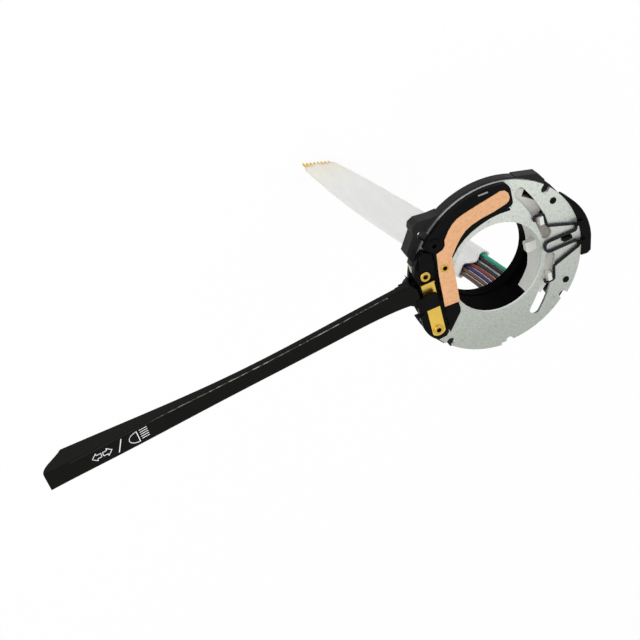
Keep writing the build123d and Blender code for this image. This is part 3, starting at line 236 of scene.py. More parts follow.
# ---- stage, in metres ----
LAMPS = (  # name, place, size, share of the key light's power
    ("key", (-0.5, 0.3, 0.9), 0.6, 1.0),
    ("fill", (0.6, 0.5, 0.5), 0.7, 0.4),
)
FLOOR_REACH = 3.0
FLOOR_WHITE_SHARE = 0.9  # the rest of what is seen stays matt, and so holds the shadow


# ---------------------------------------------------------------- helpers
def colour(hex_code):
    """Linear RGBA of an sRGB hex colour."""
    channels = [int(hex_code[i : i + 2], 16) / 255 for i in (1, 3, 5)]
    linear = [c / 12.92 if c <= 0.04045 else ((c + 0.055) / 1.055) ** 2.4 for c in channels]
    return (*linear, 1.0)


def add_node(tree, kind, inputs=None, **settings):
    """Adds a node with its settings. An input is a plain value, or a socket to link from."""
    node = tree.nodes.new(kind)
    for name, value in settings.items():
        setattr(node, name, value)
    for socket, value in (inputs or {}).items():
        if isinstance(value, bpy.types.NodeSocket):
            tree.links.new(value, node.inputs[socket])
        else:
            node.inputs[socket].default_value = value
    return node


def new_material(name):
    """Empty material with its tree, its output and the place on the piece."""
    material = bpy.data.materials.new(name)
    material.use_nodes = True
    tree = material.node_tree
    tree.nodes.clear()
    output = tree.nodes.new("ShaderNodeOutputMaterial")
    return material, tree, output, add_node(tree, "ShaderNodeTexCoord").outputs["Object"]


def dress(material, *names):
    """Gives CAD nodes their material."""
    for name in names:
        mesh = NODES[name].data
        mesh.materials.clear()
        mesh.materials.append(material)


def mesh_object(name, bm, material, smooth=True):
    """Scene object from a bmesh."""
    mesh = bpy.data.meshes.new(name)
    bmesh.ops.recalc_face_normals(bm, faces=bm.faces)
    bm.to_mesh(mesh)
    bm.free()
    for face in mesh.polygons:
        face.use_smooth = smooth
    mesh.materials.append(material)
    piece = bpy.data.objects.new(name, mesh)
    bpy.context.scene.collection.objects.link(piece)
    return piece


def carry(piece, body):
    """Lets a piece ride on a body."""
    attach(piece, body)


def nurbs_line(name, places, material, taper=None):
    """Curve object with one smooth open spline that its points steer."""
    curve = bpy.data.curves.new(name, "CURVE")
    curve.dimensions = "3D"
    line = curve.splines.new("NURBS")
    line.points.add(len(places) - 1)
    for k, (point, place) in enumerate(zip(line.points, places)):
        point.co = (*place, 1.0)
        point.radius = taper[k] if taper else 1.0
    line.order_u = 3
    line.use_endpoint_u = True
    line.resolution_u = 12
    curve.materials.append(material)
    piece = bpy.data.objects.new(name, curve)
    bpy.context.scene.collection.objects.link(piece)
    return piece


def thicken(piece, diameter_mm):
    """Gives a curve its round section."""
    piece.data.bevel_depth = diameter_mm / 2 * MM
    piece.data.bevel_resolution = 5
    piece.data.use_fill_caps = True


def slab(name, outlines_mm, heights_mm, round_mm, material):
    """Flat form with rounded edges, from its outline and those of its holes."""
    low, high = heights_mm
    curve = bpy.data.curves.new(name, "CURVE")
    curve.dimensions = "2D"
    curve.fill_mode = "BOTH"
    curve.extrude = ((high - low) / 2 - round_mm) * MM
    curve.bevel_depth = round_mm * MM
    curve.bevel_resolution = 2
    curve.offset = -round_mm * MM
    for outline in outlines_mm:
        line = curve.splines.new("POLY")
        line.points.add(len(outline) - 1)
        for point, (x, y) in zip(line.points, outline):
            point.co = (x * MM, y * MM, 0, 1)
        line.use_cyclic_u = True
    flat = bpy.data.objects.new(name, curve)
    mesh = bpy.data.meshes.new_from_object(flat)
    bm = bmesh.new()
    bm.from_mesh(mesh)
    bmesh.ops.remove_doubles(bm, verts=bm.verts, dist=WELD_MM * MM)
    bmesh.ops.translate(bm, verts=bm.verts, vec=(0, 0, (low + high) / 2 * MM))
    for data in (flat, mesh, curve):
        bpy.data.batch_remove([data])
    return mesh_object(name, bm, material, smooth=False)


def ribbon(bm, surface, points, look, width, height):
    """Thin raised band: its points lie outside the surface and are cast on to it along look."""
    rows = []
    for k, point in enumerate(points):
        along = points[min(k + 1, len(points) - 1)] - points[max(k - 1, 0)]
        side = along.cross(look).normalized() * width / 2
        row = []
        for corner in (point + side, point - side):
            hit = surface.ray_cast(corner, look)[0]
            if hit is None:
                raise RuntimeError("a raised band lies off its piece")
            row.append((bm.verts.new(hit - look * height), bm.verts.new(hit + look * height)))
        rows.append(row)
    for ((a, a_low), (b, b_low)), ((c, c_low), (d, d_low)) in zip(rows, rows[1:]):
        for face in ((a, b, d, c), (a_low, c_low, d_low, b_low), (a, c, c_low, a_low), (b, b_low, d_low, d)):
            bm.faces.new(face)
    for (a, a_low), (b, b_low) in (rows[0], rows[-1]):
        bm.faces.new((a, a_low, b_low, b))


def node_copy(name):
    """Copy of a CAD node's shape, with its split corners welded."""
    bm = bmesh.new()
    bm.from_mesh(NODES[name].data)
    bmesh.ops.remove_doubles(bm, verts=bm.verts, dist=WELD_MM * MM)
    return bm


def node_surface(name):
    """Search tree of a CAD node's faces."""
    mesh = NODES[name].data
    return BVHTree.FromPolygons([v.co for v in mesh.vertices], [p.vertices for p in mesh.polygons])


# ---------------------------------------------------------------- materials
def mottled(tree, place, hex_code, size_mm, low, high, detail=3.0):
    """Colour that varies in brightness over patches of the given size, and those patches."""
    patches = add_node(tree, "ShaderNodeTexNoise", {
        "Vector": place, "Scale": 1 / (size_mm * MM), "Detail": detail,
    }).outputs["Fac"]
    value = add_node(tree, "ShaderNodeMapRange", {
        "Value": patches, "From Min": NOISE_LOW, "From Max": NOISE_HIGH, "To Min": low, "To Max": high,
    })
    tint = add_node(tree, "ShaderNodeHueSaturation", {
        "Color": colour(hex_code), "Value": value.outputs["Result"],
    })
    return tint.outputs["Color"], patches


def edge_highlight_share(tree):
    """1 on the upright cut edges of a flat piece, where a highlight is painted, else 0."""
    facing = add_node(tree, "ShaderNodeNewGeometry").outputs["Normal"]
    along = add_node(tree, "ShaderNodeSeparateXYZ", {"Vector": facing}).outputs["Z"]
    flatness = add_node(tree, "ShaderNodeMath", {0: along}, operation="ABSOLUTE").outputs["Value"]
    edge = add_node(tree, "ShaderNodeMath", {0: flatness, 1: EDGE_FLATNESS}, operation="LESS_THAN")
    return edge.outputs["Value"]


def zinc_plated_sheet():
    """Steel sheet, stamped, then zinc-plated with a clear passivation.

    The eye gets a matt grey with a trace of green, a fine salt-and-pepper grain, scattered dark
    pits, and a painted highlight on the edges that the press sheared.
    """
    material, tree, output, place = new_material("Zinc-plated stamped steel")
    # zinc grains about 0.5 mm wide, coarser than real ones so that they show
    base, grain = mottled(tree, place, "#B3B8B1", 0.55, 0.84, 1.13, detail=4.0)
    pits = add_node(tree, "ShaderNodeTexNoise", {"Vector": place, "Scale": 1 / (1.7 * MM), "Detail": 2.0})
    pit_share = add_node(tree, "ShaderNodeMapRange", {
        "Value": pits.outputs["Fac"], "From Min": 0.64, "From Max": 0.72, "To Max": 0.5,
    })
    pitted = add_node(tree, "ShaderNodeMix", {
        0: pit_share.outputs["Result"], 6: base, 7: colour("#6F7470"),
    }, data_type="RGBA")
    # the plate is darker towards its lower side and brighter towards its upper side
    height = add_node(tree, "ShaderNodeSeparateXYZ", {"Vector": place}).outputs["Y"]
    upward_tone = add_node(tree, "ShaderNodeMapRange", {
        "Value": height, "From Min": PLATE_TONE_RANGE[0], "From Max": PLATE_TONE_RANGE[1],
        "To Min": 0.93, "To Max": 1.42,
    })
    plated = add_node(tree, "ShaderNodeHueSaturation", {
        "Color": pitted.outputs[2], "Value": upward_tone.outputs["Result"],
    })
    # painted highlight: the sheared edges are drawn pale
    tone = add_node(tree, "ShaderNodeMix", {
        0: edge_highlight_share(tree), 6: plated.outputs["Color"], 7: colour("#E4E8E5"),
    }, data_type="RGBA")
    clouds = add_node(tree, "ShaderNodeTexNoise", {"Vector": place, "Scale": 1 / (11 * MM), "Detail": 3.0})
    rough = add_node(tree, "ShaderNodeMapRange", {
        "Value": clouds.outputs["Fac"], "To Min": 0.4, "To Max": 0.56,
    })
    bump = add_node(tree, "ShaderNodeBump", {"Height": grain, "Strength": 0.3, "Distance": 0.05 * MM})
    shader = add_node(tree, "ShaderNodeBsdfPrincipled", {
        "Base Color": tone.outputs[2],
        "Metallic": 1.0,
        "Roughness": rough.outputs["Result"],
        "Normal": bump.outputs["Normal"],
    })
    tree.links.new(shader.outputs["BSDF"], output.inputs["Surface"])
    return material


def metal(name, hex_code, roughness, grain_mm, patch_mm, variation, hole=None, edge_highlight_hex=None):
    """Metal with a fine grain over duller patches, a painted highlight on its cut edges, and painted shade in
    a hole.
    """
    material, tree, output, place = new_material(name)
    tone, patches = mottled(tree, place, hex_code, patch_mm, 1 - variation, 1 + variation)
    if edge_highlight_hex:
        # painted highlight on the cut edges
        tone = add_node(tree, "ShaderNodeMix", {
            0: edge_highlight_share(tree), 6: tone, 7: colour(edge_highlight_hex),
        }, data_type="RGBA").outputs[2]
    if hole:
        (x, y), radius_mm = hole
        start, end = (radius_mm + beyond for beyond in HOLE_SHADE_BEYOND_MM)
        centred = add_node(tree, "ShaderNodeMapping", {
            "Vector": place, "Location": (-x, -y, 0), "Scale": (1, 1, 0),
        })
        reach = add_node(tree, "ShaderNodeVectorMath", {0: centred.outputs["Vector"]}, operation="LENGTH")
        inside = add_node(tree, "ShaderNodeMapRange", {
            "Value": reach.outputs["Value"], "From Min": start * MM, "From Max": end * MM,
            "To Min": 0.93, "To Max": 0.0,
        })
        # painted shade inside the hole
        tone = add_node(tree, "ShaderNodeMix", {
            0: inside.outputs["Result"], 6: tone, 7: colour("#17110A"),
        }, data_type="RGBA").outputs[2]
    rough = add_node(tree, "ShaderNodeMapRange", {
        "Value": patches, "From Min": NOISE_LOW, "From Max": NOISE_HIGH,
        "To Min": roughness - 0.05, "To Max": roughness + 0.08,
    })
    grain = add_node(tree, "ShaderNodeTexNoise", {
        "Vector": place, "Scale": 1 / (grain_mm * MM), "Detail": 3.0,
    })
    bump = add_node(tree, "ShaderNodeBump", {
        "Height": grain.outputs["Fac"], "Strength": 0.2, "Distance": 0.04 * MM,
    })
    shader = add_node(tree, "ShaderNodeBsdfPrincipled", {
        "Base Color": tone,
        "Metallic": 1.0,
        "Roughness": rough.outputs["Result"],
        "Normal": bump.outputs["Normal"],
    })
    tree.links.new(shader.outputs["BSDF"], output.inputs["Surface"])
    return material


def moulding(name, hex_code, roughness, grain_mm, strength, gloss=0.5, ior=1.53):
    """Injection moulding with the fine eroded texture of its mould, and its gloss."""
    material, tree, output, place = new_material(name)
    tone, patches = mottled(tree, place, hex_code, 9.0, 0.85, 1.15, detail=4.0)
    rough = add_node(tree, "ShaderNodeMapRange", {
        "Value": patches, "From Min": NOISE_LOW, "From Max": NOISE_HIGH,
        "To Min": roughness - 0.06, "To Max": roughness + 0.08,
    })
    grain = add_node(tree, "ShaderNodeTexNoise", {
        "Vector": place, "Scale": 1 / (grain_mm * MM), "Detail": 3.0,
    })
    bump = add_node(tree, "ShaderNodeBump", {
        "Height": grain.outputs["Fac"], "Strength": strength, "Distance": 0.06 * MM,
    })
    shader = add_node(tree, "ShaderNodeBsdfPrincipled", {
        "Base Color": tone,
        "Roughness": rough.outputs["Result"],
        "IOR": ior,
        "Specular IOR Level": gloss,
        "Normal": bump.outputs["Normal"],
    })
    tree.links.new(shader.outputs["BSDF"], output.inputs["Surface"])
    return material


def greased_shaded_nylon(hex_code):
    """Natural nylon moulding with a film of grease, and painted shade, where it runs behind the plate.

    The eye gets a soft off-white in the bore and on the posts, and in the slots a grey-brown that is partly
    grease and partly painted shade.
    """
    material, tree, output, place = new_material("Natural nylon moulding, greased, painted shade")
    clean, patches = mottled(tree, place, hex_code, 7.0, 0.93, 1.04)
    # grey-brown of the grease, darkened further as painted shade
    film_and_shade, _ = mottled(tree, place, "#6F6860", 3.2, 0.7, 1.3)
    axes = add_node(tree, "ShaderNodeSeparateXYZ", {"Vector": place})
    # the grease and painted shade lie outside the bore
    flat = add_node(tree, "ShaderNodeMapping", {"Vector": place, "Scale": (1, 1, 0)})
    reach = add_node(tree, "ShaderNodeVectorMath", {0: flat.outputs["Vector"]}, operation="LENGTH")
    outside = add_node(tree, "ShaderNodeMapRange", {
        "Value": reach.outputs["Value"], "From Min": GREASE_SHADE_RADII[0], "From Max": GREASE_SHADE_RADII[1],
    })
    # and behind the plate, in its shade
    behind = add_node(tree, "ShaderNodeMapRange", {
        "Value": axes.outputs["Z"], "From Min": GREASE_SHADE_HEIGHTS[0], "From Max": GREASE_SHADE_HEIGHTS[1],
        "To Max": 0.85,
    })
    # it is thickest near one place along Y and thins out to both sides
    offset = add_node(tree, "ShaderNodeMath", {0: axes.outputs["Y"], 1: GREASE_SHADE_MIDDLE}, operation="SUBTRACT")
    away = add_node(tree, "ShaderNodeMath", {0: offset.outputs["Value"]}, operation="ABSOLUTE")
    thickness = add_node(tree, "ShaderNodeMapRange", {
        "Value": away.outputs["Value"], "From Min": GREASE_SHADE_FADE[0], "From Max": GREASE_SHADE_FADE[1],
        "To Min": 1.0, "To Max": 0.2,
    })
    share = outside.outputs["Result"]
    for limit in (behind, thickness):
        share = add_node(tree, "ShaderNodeMath", {
            0: share, 1: limit.outputs["Result"],
        }, operation="MULTIPLY").outputs["Value"]
    tone = add_node(tree, "ShaderNodeMix", {0: share, 6: clean, 7: film_and_shade}, data_type="RGBA")
    bump = add_node(tree, "ShaderNodeBump", {"Height": patches, "Strength": 0.1, "Distance": 0.1 * MM})
    shader = add_node(tree, "ShaderNodeBsdfPrincipled", {
        "Base Color": tone.outputs[2],
        "Roughness": 0.36,
        "IOR": 1.53,
        "Subsurface Weight": 0.12,
        "Subsurface Radius": (1.2 * MM, 1.1 * MM, 1.0 * MM),
        "Subsurface Scale": 1.0,
        "Normal": bump.outputs["Normal"],
    })
    tree.links.new(shader.outputs["BSDF"], output.inputs["Surface"])
    return material


def milky_vinyl(hex_code, aged_hex):
    """Soft PVC tube, extruded and flattened over the wires.

    The eye gets a milky skin with long soft bands and a dull gloss, yellowed towards its far end.
    """
    material, tree, output, place = new_material("Milky soft PVC tube")
    # the bands run along the tube, so the pattern is stretched along it
    drawn = add_node(tree, "ShaderNodeMapping", {"Vector": place, "Scale": (1.0, 1.0, 0.08)})
    tone, bands = mottled(tree, drawn.outputs["Vector"], hex_code, 4.5, 0.95, 1.02, detail=2.0)
    height = add_node(tree, "ShaderNodeSeparateXYZ", {"Vector": place}).outputs["Z"]
    aged = add_node(tree, "ShaderNodeMapRange", {
        "Value": height, "From Min": SLEEVE_AGED_HEIGHTS[0], "From Max": SLEEVE_AGED_HEIGHTS[1],
        "To Max": 0.75,
    })
    tone = add_node(tree, "ShaderNodeMix", {
        0: aged.outputs["Result"], 6: tone, 7: colour(aged_hex),
    }, data_type="RGBA").outputs[2]
    bump = add_node(tree, "ShaderNodeBump", {"Height": bands, "Strength": 0.4, "Distance": 0.5 * MM})
    shader = add_node(tree, "ShaderNodeBsdfPrincipled", {
        "Base Color": tone,
        "Roughness": 0.36,
        "IOR": 1.53,
        "Transmission Weight": 0.06,
        "Subsurface Weight": 0.3,
        "Subsurface Radius": (2 * MM, 2 * MM, 2 * MM),
        "Subsurface Scale": 1.0,
        "Normal": bump.outputs["Normal"],
    })
    tree.links.new(shader.outputs["BSDF"], output.inputs["Surface"])
    return material


def rubbed_edge(hex_code, rubbed_hex):
    """Parting line of a black moulding, rubbed pale in short stretches."""
    material, tree, output, place = new_material("Rubbed parting line of black moulding")
    drawn = add_node(tree, "ShaderNodeMapping", {"Vector": place, "Scale": (0.35, 1.0, 1.0)})
    scuffs = add_node(tree, "ShaderNodeTexNoise", {
        "Vector": drawn.outputs["Vector"], "Scale": 1 / (1.1 * MM), "Detail": 5.0, "Roughness": 0.75,
    })
    flecks = add_node(tree, "ShaderNodeMapRange", {
        "Value": scuffs.outputs["Fac"], "From Min": 0.47, "From Max": 0.62, "To Min": 0.05, "To Max": 1.0,
    })
    # the hand's end of the lever is not rubbed
    reach = add_node(tree, "ShaderNodeSeparateXYZ", {"Vector": place}).outputs["X"]
    near = add_node(tree, "ShaderNodeMapRange", {
        "Value": reach, "From Min": RUBBED_END[0], "From Max": RUBBED_END[1],
    })
    share = add_node(tree, "ShaderNodeMath", {
        0: flecks.outputs["Result"], 1: near.outputs["Result"],
    }, operation="MULTIPLY")
    tone = add_node(tree, "ShaderNodeMix", {
        0: share.outputs["Value"], 6: colour(hex_code), 7: colour(rubbed_hex),
    }, data_type="RGBA")
    shader = add_node(tree, "ShaderNodeBsdfPrincipled", {
        "Base Color": tone.outputs[2],
        "Roughness": 0.5,
        "IOR": 1.53,
        "Specular IOR Level": 0.2,
    })
    tree.links.new(shader.outputs["BSDF"], output.inputs["Surface"])
    return material


def seen_white(tree):
    """Light Path share for the rays that see the plain white background."""
    path = add_node(tree, "ShaderNodeLightPath")
    seen = path.outputs["Is Camera Ray"]
    for kind in ("Is Glossy Ray", "Is Transmission Ray"):
        seen = add_node(tree, "ShaderNodeMath", {
            0: seen, 1: path.outputs[kind],
        }, operation="MAXIMUM").outputs["Value"]
    return seen


# ---------------------------------------------------------------- settings
class StageSettings(bpy.types.PropertyGroup):
    """Floor and light."""

    floor_drop: bpy.props.FloatProperty(
        name="Floor drop", description="Gap between the lowest point and the floor",
        default=0.004, unit="LENGTH",
    )
    key_power: bpy.props.FloatProperty(name="Key light", description="Power of the main lamp", default=3.7)
    world_strength: bpy.props.FloatProperty(
        name="Room light", description="Strength of the even light around", default=0.82,
    )


class FinishSettings(bpy.types.PropertyGroup):
    """Colours of the main finishes."""

    moulding_hex: bpy.props.StringProperty(name="Mouldings", description="Black nylon", default="#0B0B0C")
    lever_hex: bpy.props.StringProperty(name="Lever", description="Black lever skin", default="#10100D")
    nylon_hex: bpy.props.StringProperty(name="Turn ring", description="Natural nylon", default="#CFD0CA")
    copper_hex: bpy.props.StringProperty(name="Strip", description="Copper strip", default="#E1AF84")
    brass_hex: bpy.props.StringProperty(name="Brass", description="Leaf and contacts", default="#E0BC58")


class WiringSettings(bpy.types.PropertyGroup):
    """Wires and sleeve."""

    sleeve_hex: bpy.props.StringProperty(name="Sleeve", description="Milky sleeve", default="#F1F2EE")
    sleeve_width: bpy.props.FloatProperty(
        name="Sleeve width", description="Width of the flattened tube", default=0.0186, unit="LENGTH",
    )
    sleeve_thickness: bpy.props.FloatProperty(
        name="Sleeve thickness", description="Thickness of the flattened tube", default=0.0044, unit="LENGTH",
    )


# ---------------------------------------------------------------- operators
class SWITCH_OT_stage(bpy.types.Operator):
    """Camera, floor and soft studio light"""

    bl_idname = "switch.stage"
    bl_label = "Build stage"

    def execute(self, context):
        scene = context.scene
        settings = scene.switch_stage
        camera_data = bpy.data.cameras.new("camera")
        camera_data.lens = CAMERA_LENS_MM
        camera_data.sensor_width = CAMERA_SENSOR_MM
        camera = bpy.data.objects.new("camera", camera_data)
        turn = Matrix((CAMERA_RIGHT, CAMERA_UP, CAMERA_BACK)).transposed().to_4x4()
        camera.matrix_world = Matrix.Translation(Vector(CAMERA_PLACE_MM) * MM) @ turn
        scene.collection.objects.link(camera)
        scene.camera = camera
        self.floor(settings)
        self.world(scene, settings)
        for name, place, size, share in LAMPS:
            lamp_data = bpy.data.lights.new(name, "AREA")
            lamp_data.size = size
            lamp_data.energy = settings.key_power * share
            lamp = bpy.data.objects.new(name, lamp_data)
            lamp.location = place
            lamp.rotation_euler = (-Vector(place)).to_track_quat("-Z", "Y").to_euler()
            scene.collection.objects.link(lamp)
        scene.view_settings.view_transform = "Standard"
        return {"FINISHED"}

    @staticmethod
    def floor(settings):
        """Pale floor under the lowest point, plain white where seen, which still takes the shadow."""
        bm = bmesh.new()
        bmesh.ops.create_grid(bm, x_segments=1, y_segments=1, size=FLOOR_REACH)
        bmesh.ops.translate(bm, verts=bm.verts, vec=(0, 0, CAD_BOX[0][2] - settings.floor_drop))
        material, tree, output, _ = new_material("Pale matt studio floor")
        matt = add_node(tree, "ShaderNodeBsdfDiffuse", {"Color": colour("#F4F4F4")})
        glow = add_node(tree, "ShaderNodeEmission", {"Color": (1, 1, 1, 1), "Strength": 1.0})
        share = add_node(tree, "ShaderNodeMath", {
            0: seen_white(tree), 1: FLOOR_WHITE_SHARE,
        }, operation="MULTIPLY")
        mix = add_node(tree, "ShaderNodeMixShader", {
            0: share.outputs["Value"], 1: matt.outputs["BSDF"], 2: glow.outputs["Emission"],
        })
        tree.links.new(mix.outputs["Shader"], output.inputs["Surface"])
        mesh_object("floor", bm, material, smooth=False)

    @staticmethod
    def world(scene, settings):
        """Even light all round, seen as plain white."""
        world = bpy.data.worlds.new("studio")
        world.use_nodes = True
        tree = world.node_tree
        tree.nodes.clear()
        output = tree.nodes.new("ShaderNodeOutputWorld")
        room, white = (
            add_node(tree, "ShaderNodeBackground", {"Color": (1, 1, 1, 1), "Strength": strength})
            for strength in (settings.world_strength, 1.0)
        )
        mix = add_node(tree, "ShaderNodeMixShader", {
            0: seen_white(tree), 1: room.outputs["Background"], 2: white.outputs["Background"],
        })
        tree.links.new(mix.outputs["Shader"], output.inputs["Surface"])
        scene.world = world


class SWITCH_OT_wiring(bpy.types.Operator):
    """Wires in a flat row and the milky sleeve around them"""

    bl_idname = "switch.wiring"
    bl_label = "Build wiring"

    def execute(self, context):
        settings = context.scene.switch_wiring
        wires = []
        for number, (name, hex_code) in enumerate(WIRE_COLOURS.items()):
            # extruded PVC: smooth, with a soft gloss
            skin = moulding(f"Extruded PVC insulation {name}", hex_code, 0.34, 2.0, 0.08, gloss=0.35)
            places = [self.wire_place(station, number) for station in WIRE_STATIONS_MM]
            wires.append(nurbs_line(f"insulated_wire_{name}", places, skin))
        edges = [self.line_points(wires[0]), self.line_points(wires[-1])]
        sleeve = self.sleeve(edges, settings)
        for number, (name, wire) in enumerate(zip(WIRE_COLOURS, wires)):
            thicken(wire, WIRE_DIAMETER_MM)
            carry(wire, "base")
            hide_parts(f"wire_{name}")
        return {"FINISHED"}

    @staticmethod
    def wire_place(station, number):
        """Place of one wire of the row at a station."""
        height, middle_x, middle_y, turn = station
        across, sink = WIRE_PITCH_MM * (number - WIRE_ORDER_MIDDLE), 0.0
        if height in DRAWN_HEIGHTS_MM:
            across, sink = DRAWN_ROW_MM[number]
        x = middle_x - across * cos(radians(turn)) + sink * sin(radians(turn))
        y = middle_y - across * sin(radians(turn)) - sink * cos(radians(turn))
        return Vector((x, y, height)) * MM

    @staticmethod
    def line_points(wire):
        """Points along a wire's spline, read while the curve has no thickness."""
        mesh = bpy.data.meshes.new_from_object(wire)
        points = [vert.co.copy() for vert in mesh.vertices]
        bpy.data.meshes.remove(mesh)
        return points

    @staticmethod
    def section(half_width, half_thick):
        """Outline of the flattened tube, as (across, out) in metres."""
        outline = []
        flat = half_width - half_thick
        for k in range(SLEEVE_SIDES):
            angle = 2 * pi * k / SLEEVE_SIDES
            across = flat * max(-1.0, min(1.0, cos(angle) * SLEEVE_FLATNESS)) + half_thick * cos(angle)
            share = sin(angle)
            out = half_thick * share
            for place, width, height in SLEEVE_WAVES_MM:
                out += share * height * MM * exp(-(((across - place * MM) / (width * MM)) ** 2))
            outline.append((across, out))
        return outline

    def sleeve(self, edges, settings):
        """Tube whose sections stand square to the row, between its two outer wires."""
        pairs = [pair for pair in zip(*edges) if (pair[0].z + pair[1].z) / 2 <= SLEEVE_START_MM * MM]
        overlap = SLEEVE_OVERLAP_MM * MM
        ends = zip(pairs[-1], pairs[-2])
        pairs.append([end + (end - before).normalized() * overlap for end, before in ends])
        middles = [(first + last) / 2 for first, last in pairs]
        bm = bmesh.new()
        walls = []
        for inset in (0.0, SLEEVE_WALL_MM * MM):
            rings = []
            for k, ((first, last), middle) in enumerate(zip(pairs, middles)):
                # between its ends the tube is wider than the row, on the side of the last wire
                bulge = max(0.0, sin(pi * k / (len(middles) - 1))) ** SLEEVE_SLACK_POWER
                slack = SLEEVE_SLACK_MM * MM * bulge / 2
                outline = [(a - slack, b) for a, b in self.section(
                    settings.sleeve_width / 2 - inset + slack, settings.sleeve_thickness / 2 - inset,
                )]
                along = (middles[min(k + 1, len(middles) - 1)] - middles[max(k - 1, 0)]).normalized()
                across = (first - last).normalized()
                normal = along.cross(across).normalized()
                # the near end is cut out of true, and the cut fades over the first sections
                cut = SLEEVE_CUT_MM * MM * max(0.0, 1 - k / SLEEVE_CUT_FADE)
                per_mm, phase = SLEEVE_CUT_WAVE
                ring = []
                for a, b in outline:
                    back = cut * sin(a / MM * per_mm + phase)
                    ring.append(bm.verts.new(middle + across * a + normal * b - along * back))
                rings.append(ring)
            walls.append(rings)
        for rings in walls:
            for lower, upper in zip(rings, rings[1:]):
                for k in range(SLEEVE_SIDES):
                    j = (k + 1) % SLEEVE_SIDES
                    bm.faces.new((lower[k], upper[k], upper[j], lower[j]))
        outer, inner = walls
        for end in (0, -1):
            for k in range(SLEEVE_SIDES):
                j = (k + 1) % SLEEVE_SIDES
                bm.faces.new((outer[end][k], outer[end][j], inner[end][j], inner[end][k]))
        piece = mesh_object("milky_sleeve", bm, milky_vinyl(settings.sleeve_hex, "#F4EDD6"))
        carry(piece, "base")
        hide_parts("harness_sleeve")
        return piece


class SWITCH_OT_metals(bpy.types.Operator):
    """Finishes of the plate, contacts, pins and springs"""

    bl_idname = "switch.metals"
    bl_label = "Finish metals"

    def execute(self, context):
        settings = context.scene.switch_finish
        dress(zinc_plated_sheet(), "base_plate")
        # brass, stamped from sheet: bright yellow and smooth
        brass = metal("Stamped brass", settings.brass_hex, 0.3, 0.6, 5.0, 0.06)
        dress(brass, "flasher_leaf", "wire_terminals", "fixed_contacts", "bridge_contacts")
        # brass tube, flared over: bright rim, with painted shade inside its hole
        for node, radius_mm in RIVET_HOLES_MM.items():
            low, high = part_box(node)
            hole = (((low[0] + high[0]) / 2, (low[1] + high[1]) / 2), radius_mm)
            dress(metal(f"Flared brass tube {node}", "#C9A74E", 0.28, 0.5, 4.0, 0.06, hole), node)
        # spring wire, drawn and blued by its heat treatment: dark with a violet glint
        blued = metal("Drawn blued spring wire", "#2B2830", 0.26, 0.4, 3.0, 0.25)
        self.return_spring(blued)
        self.detent_coil(blued)
        # pins and ball, turned and ground: bright and even
        ground = metal("Ground steel", "#B4B4B2", 0.25, 0.3, 6.0, 0.04)
        dress(ground, "pivot_pin", "drive_pin", "tilt_pin", "detent_ball", "lever_core")
        # brass dipped in tin: soft grey shine
        dress(metal("Tinned brass", "#C4C4C0", 0.3, 0.4, 3.0, 0.06), "solder_tags")
        self.strip(settings)
        return {"FINISHED"}

    @staticmethod
    def return_spring(blued):
        """The ring's spring as two halves of its wire."""
        for name, side in (("upper", 1), ("lower", -1)):
            bm = node_copy("return_spring")
            cut = bmesh.ops.bisect_plane(
                bm, geom=[*bm.verts, *bm.edges, *bm.faces], plane_no=(0, -side, 0), clear_outer=True,
            )["geom_cut"]
            bmesh.ops.edgeloop_fill(bm, edges=[item for item in cut if isinstance(item, bmesh.types.BMEdge)])
            piece = mesh_object(f"return_spring_{name}", bm, blued)
            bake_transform(piece)
            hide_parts("return_spring")

    @staticmethod
    def detent_coil(blued):
        """The detent's coil, riding on the yoke."""
        piece = mesh_object("detent_coil", node_copy("detent_spring"), blued)
        carry(piece, "yoke")
        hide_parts("detent_spring")
        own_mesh(piece)

    @staticmethod
    def strip(settings):
        """Copper strip of the horn contact, with its hole for the eyelet."""
        # copper, rolled and cut: satin with a speckled tarnish, and a painted highlight along its cut edges
        copper = metal("Rolled copper strip", settings.copper_hex, 0.48, 0.5, 1.3, 0.09, edge_highlight_hex="#F3C79E")
        x, y = EYELET_PLACE_MM
        turns = [2 * pi * k / EYELET_HOLE_SIDES for k in range(EYELET_HOLE_SIDES)]
        hole = [(x + EYELET_SHANK_R_MM * cos(turn), y + EYELET_SHANK_R_MM * sin(turn)) for turn in turns]
        piece = slab("copper_strip", (STRIP_MM, hole), STRIP_HEIGHTS_MM, STRIP_ROUND_MM, copper)
        carry(piece, "base")
        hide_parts("horn_contact_strip")


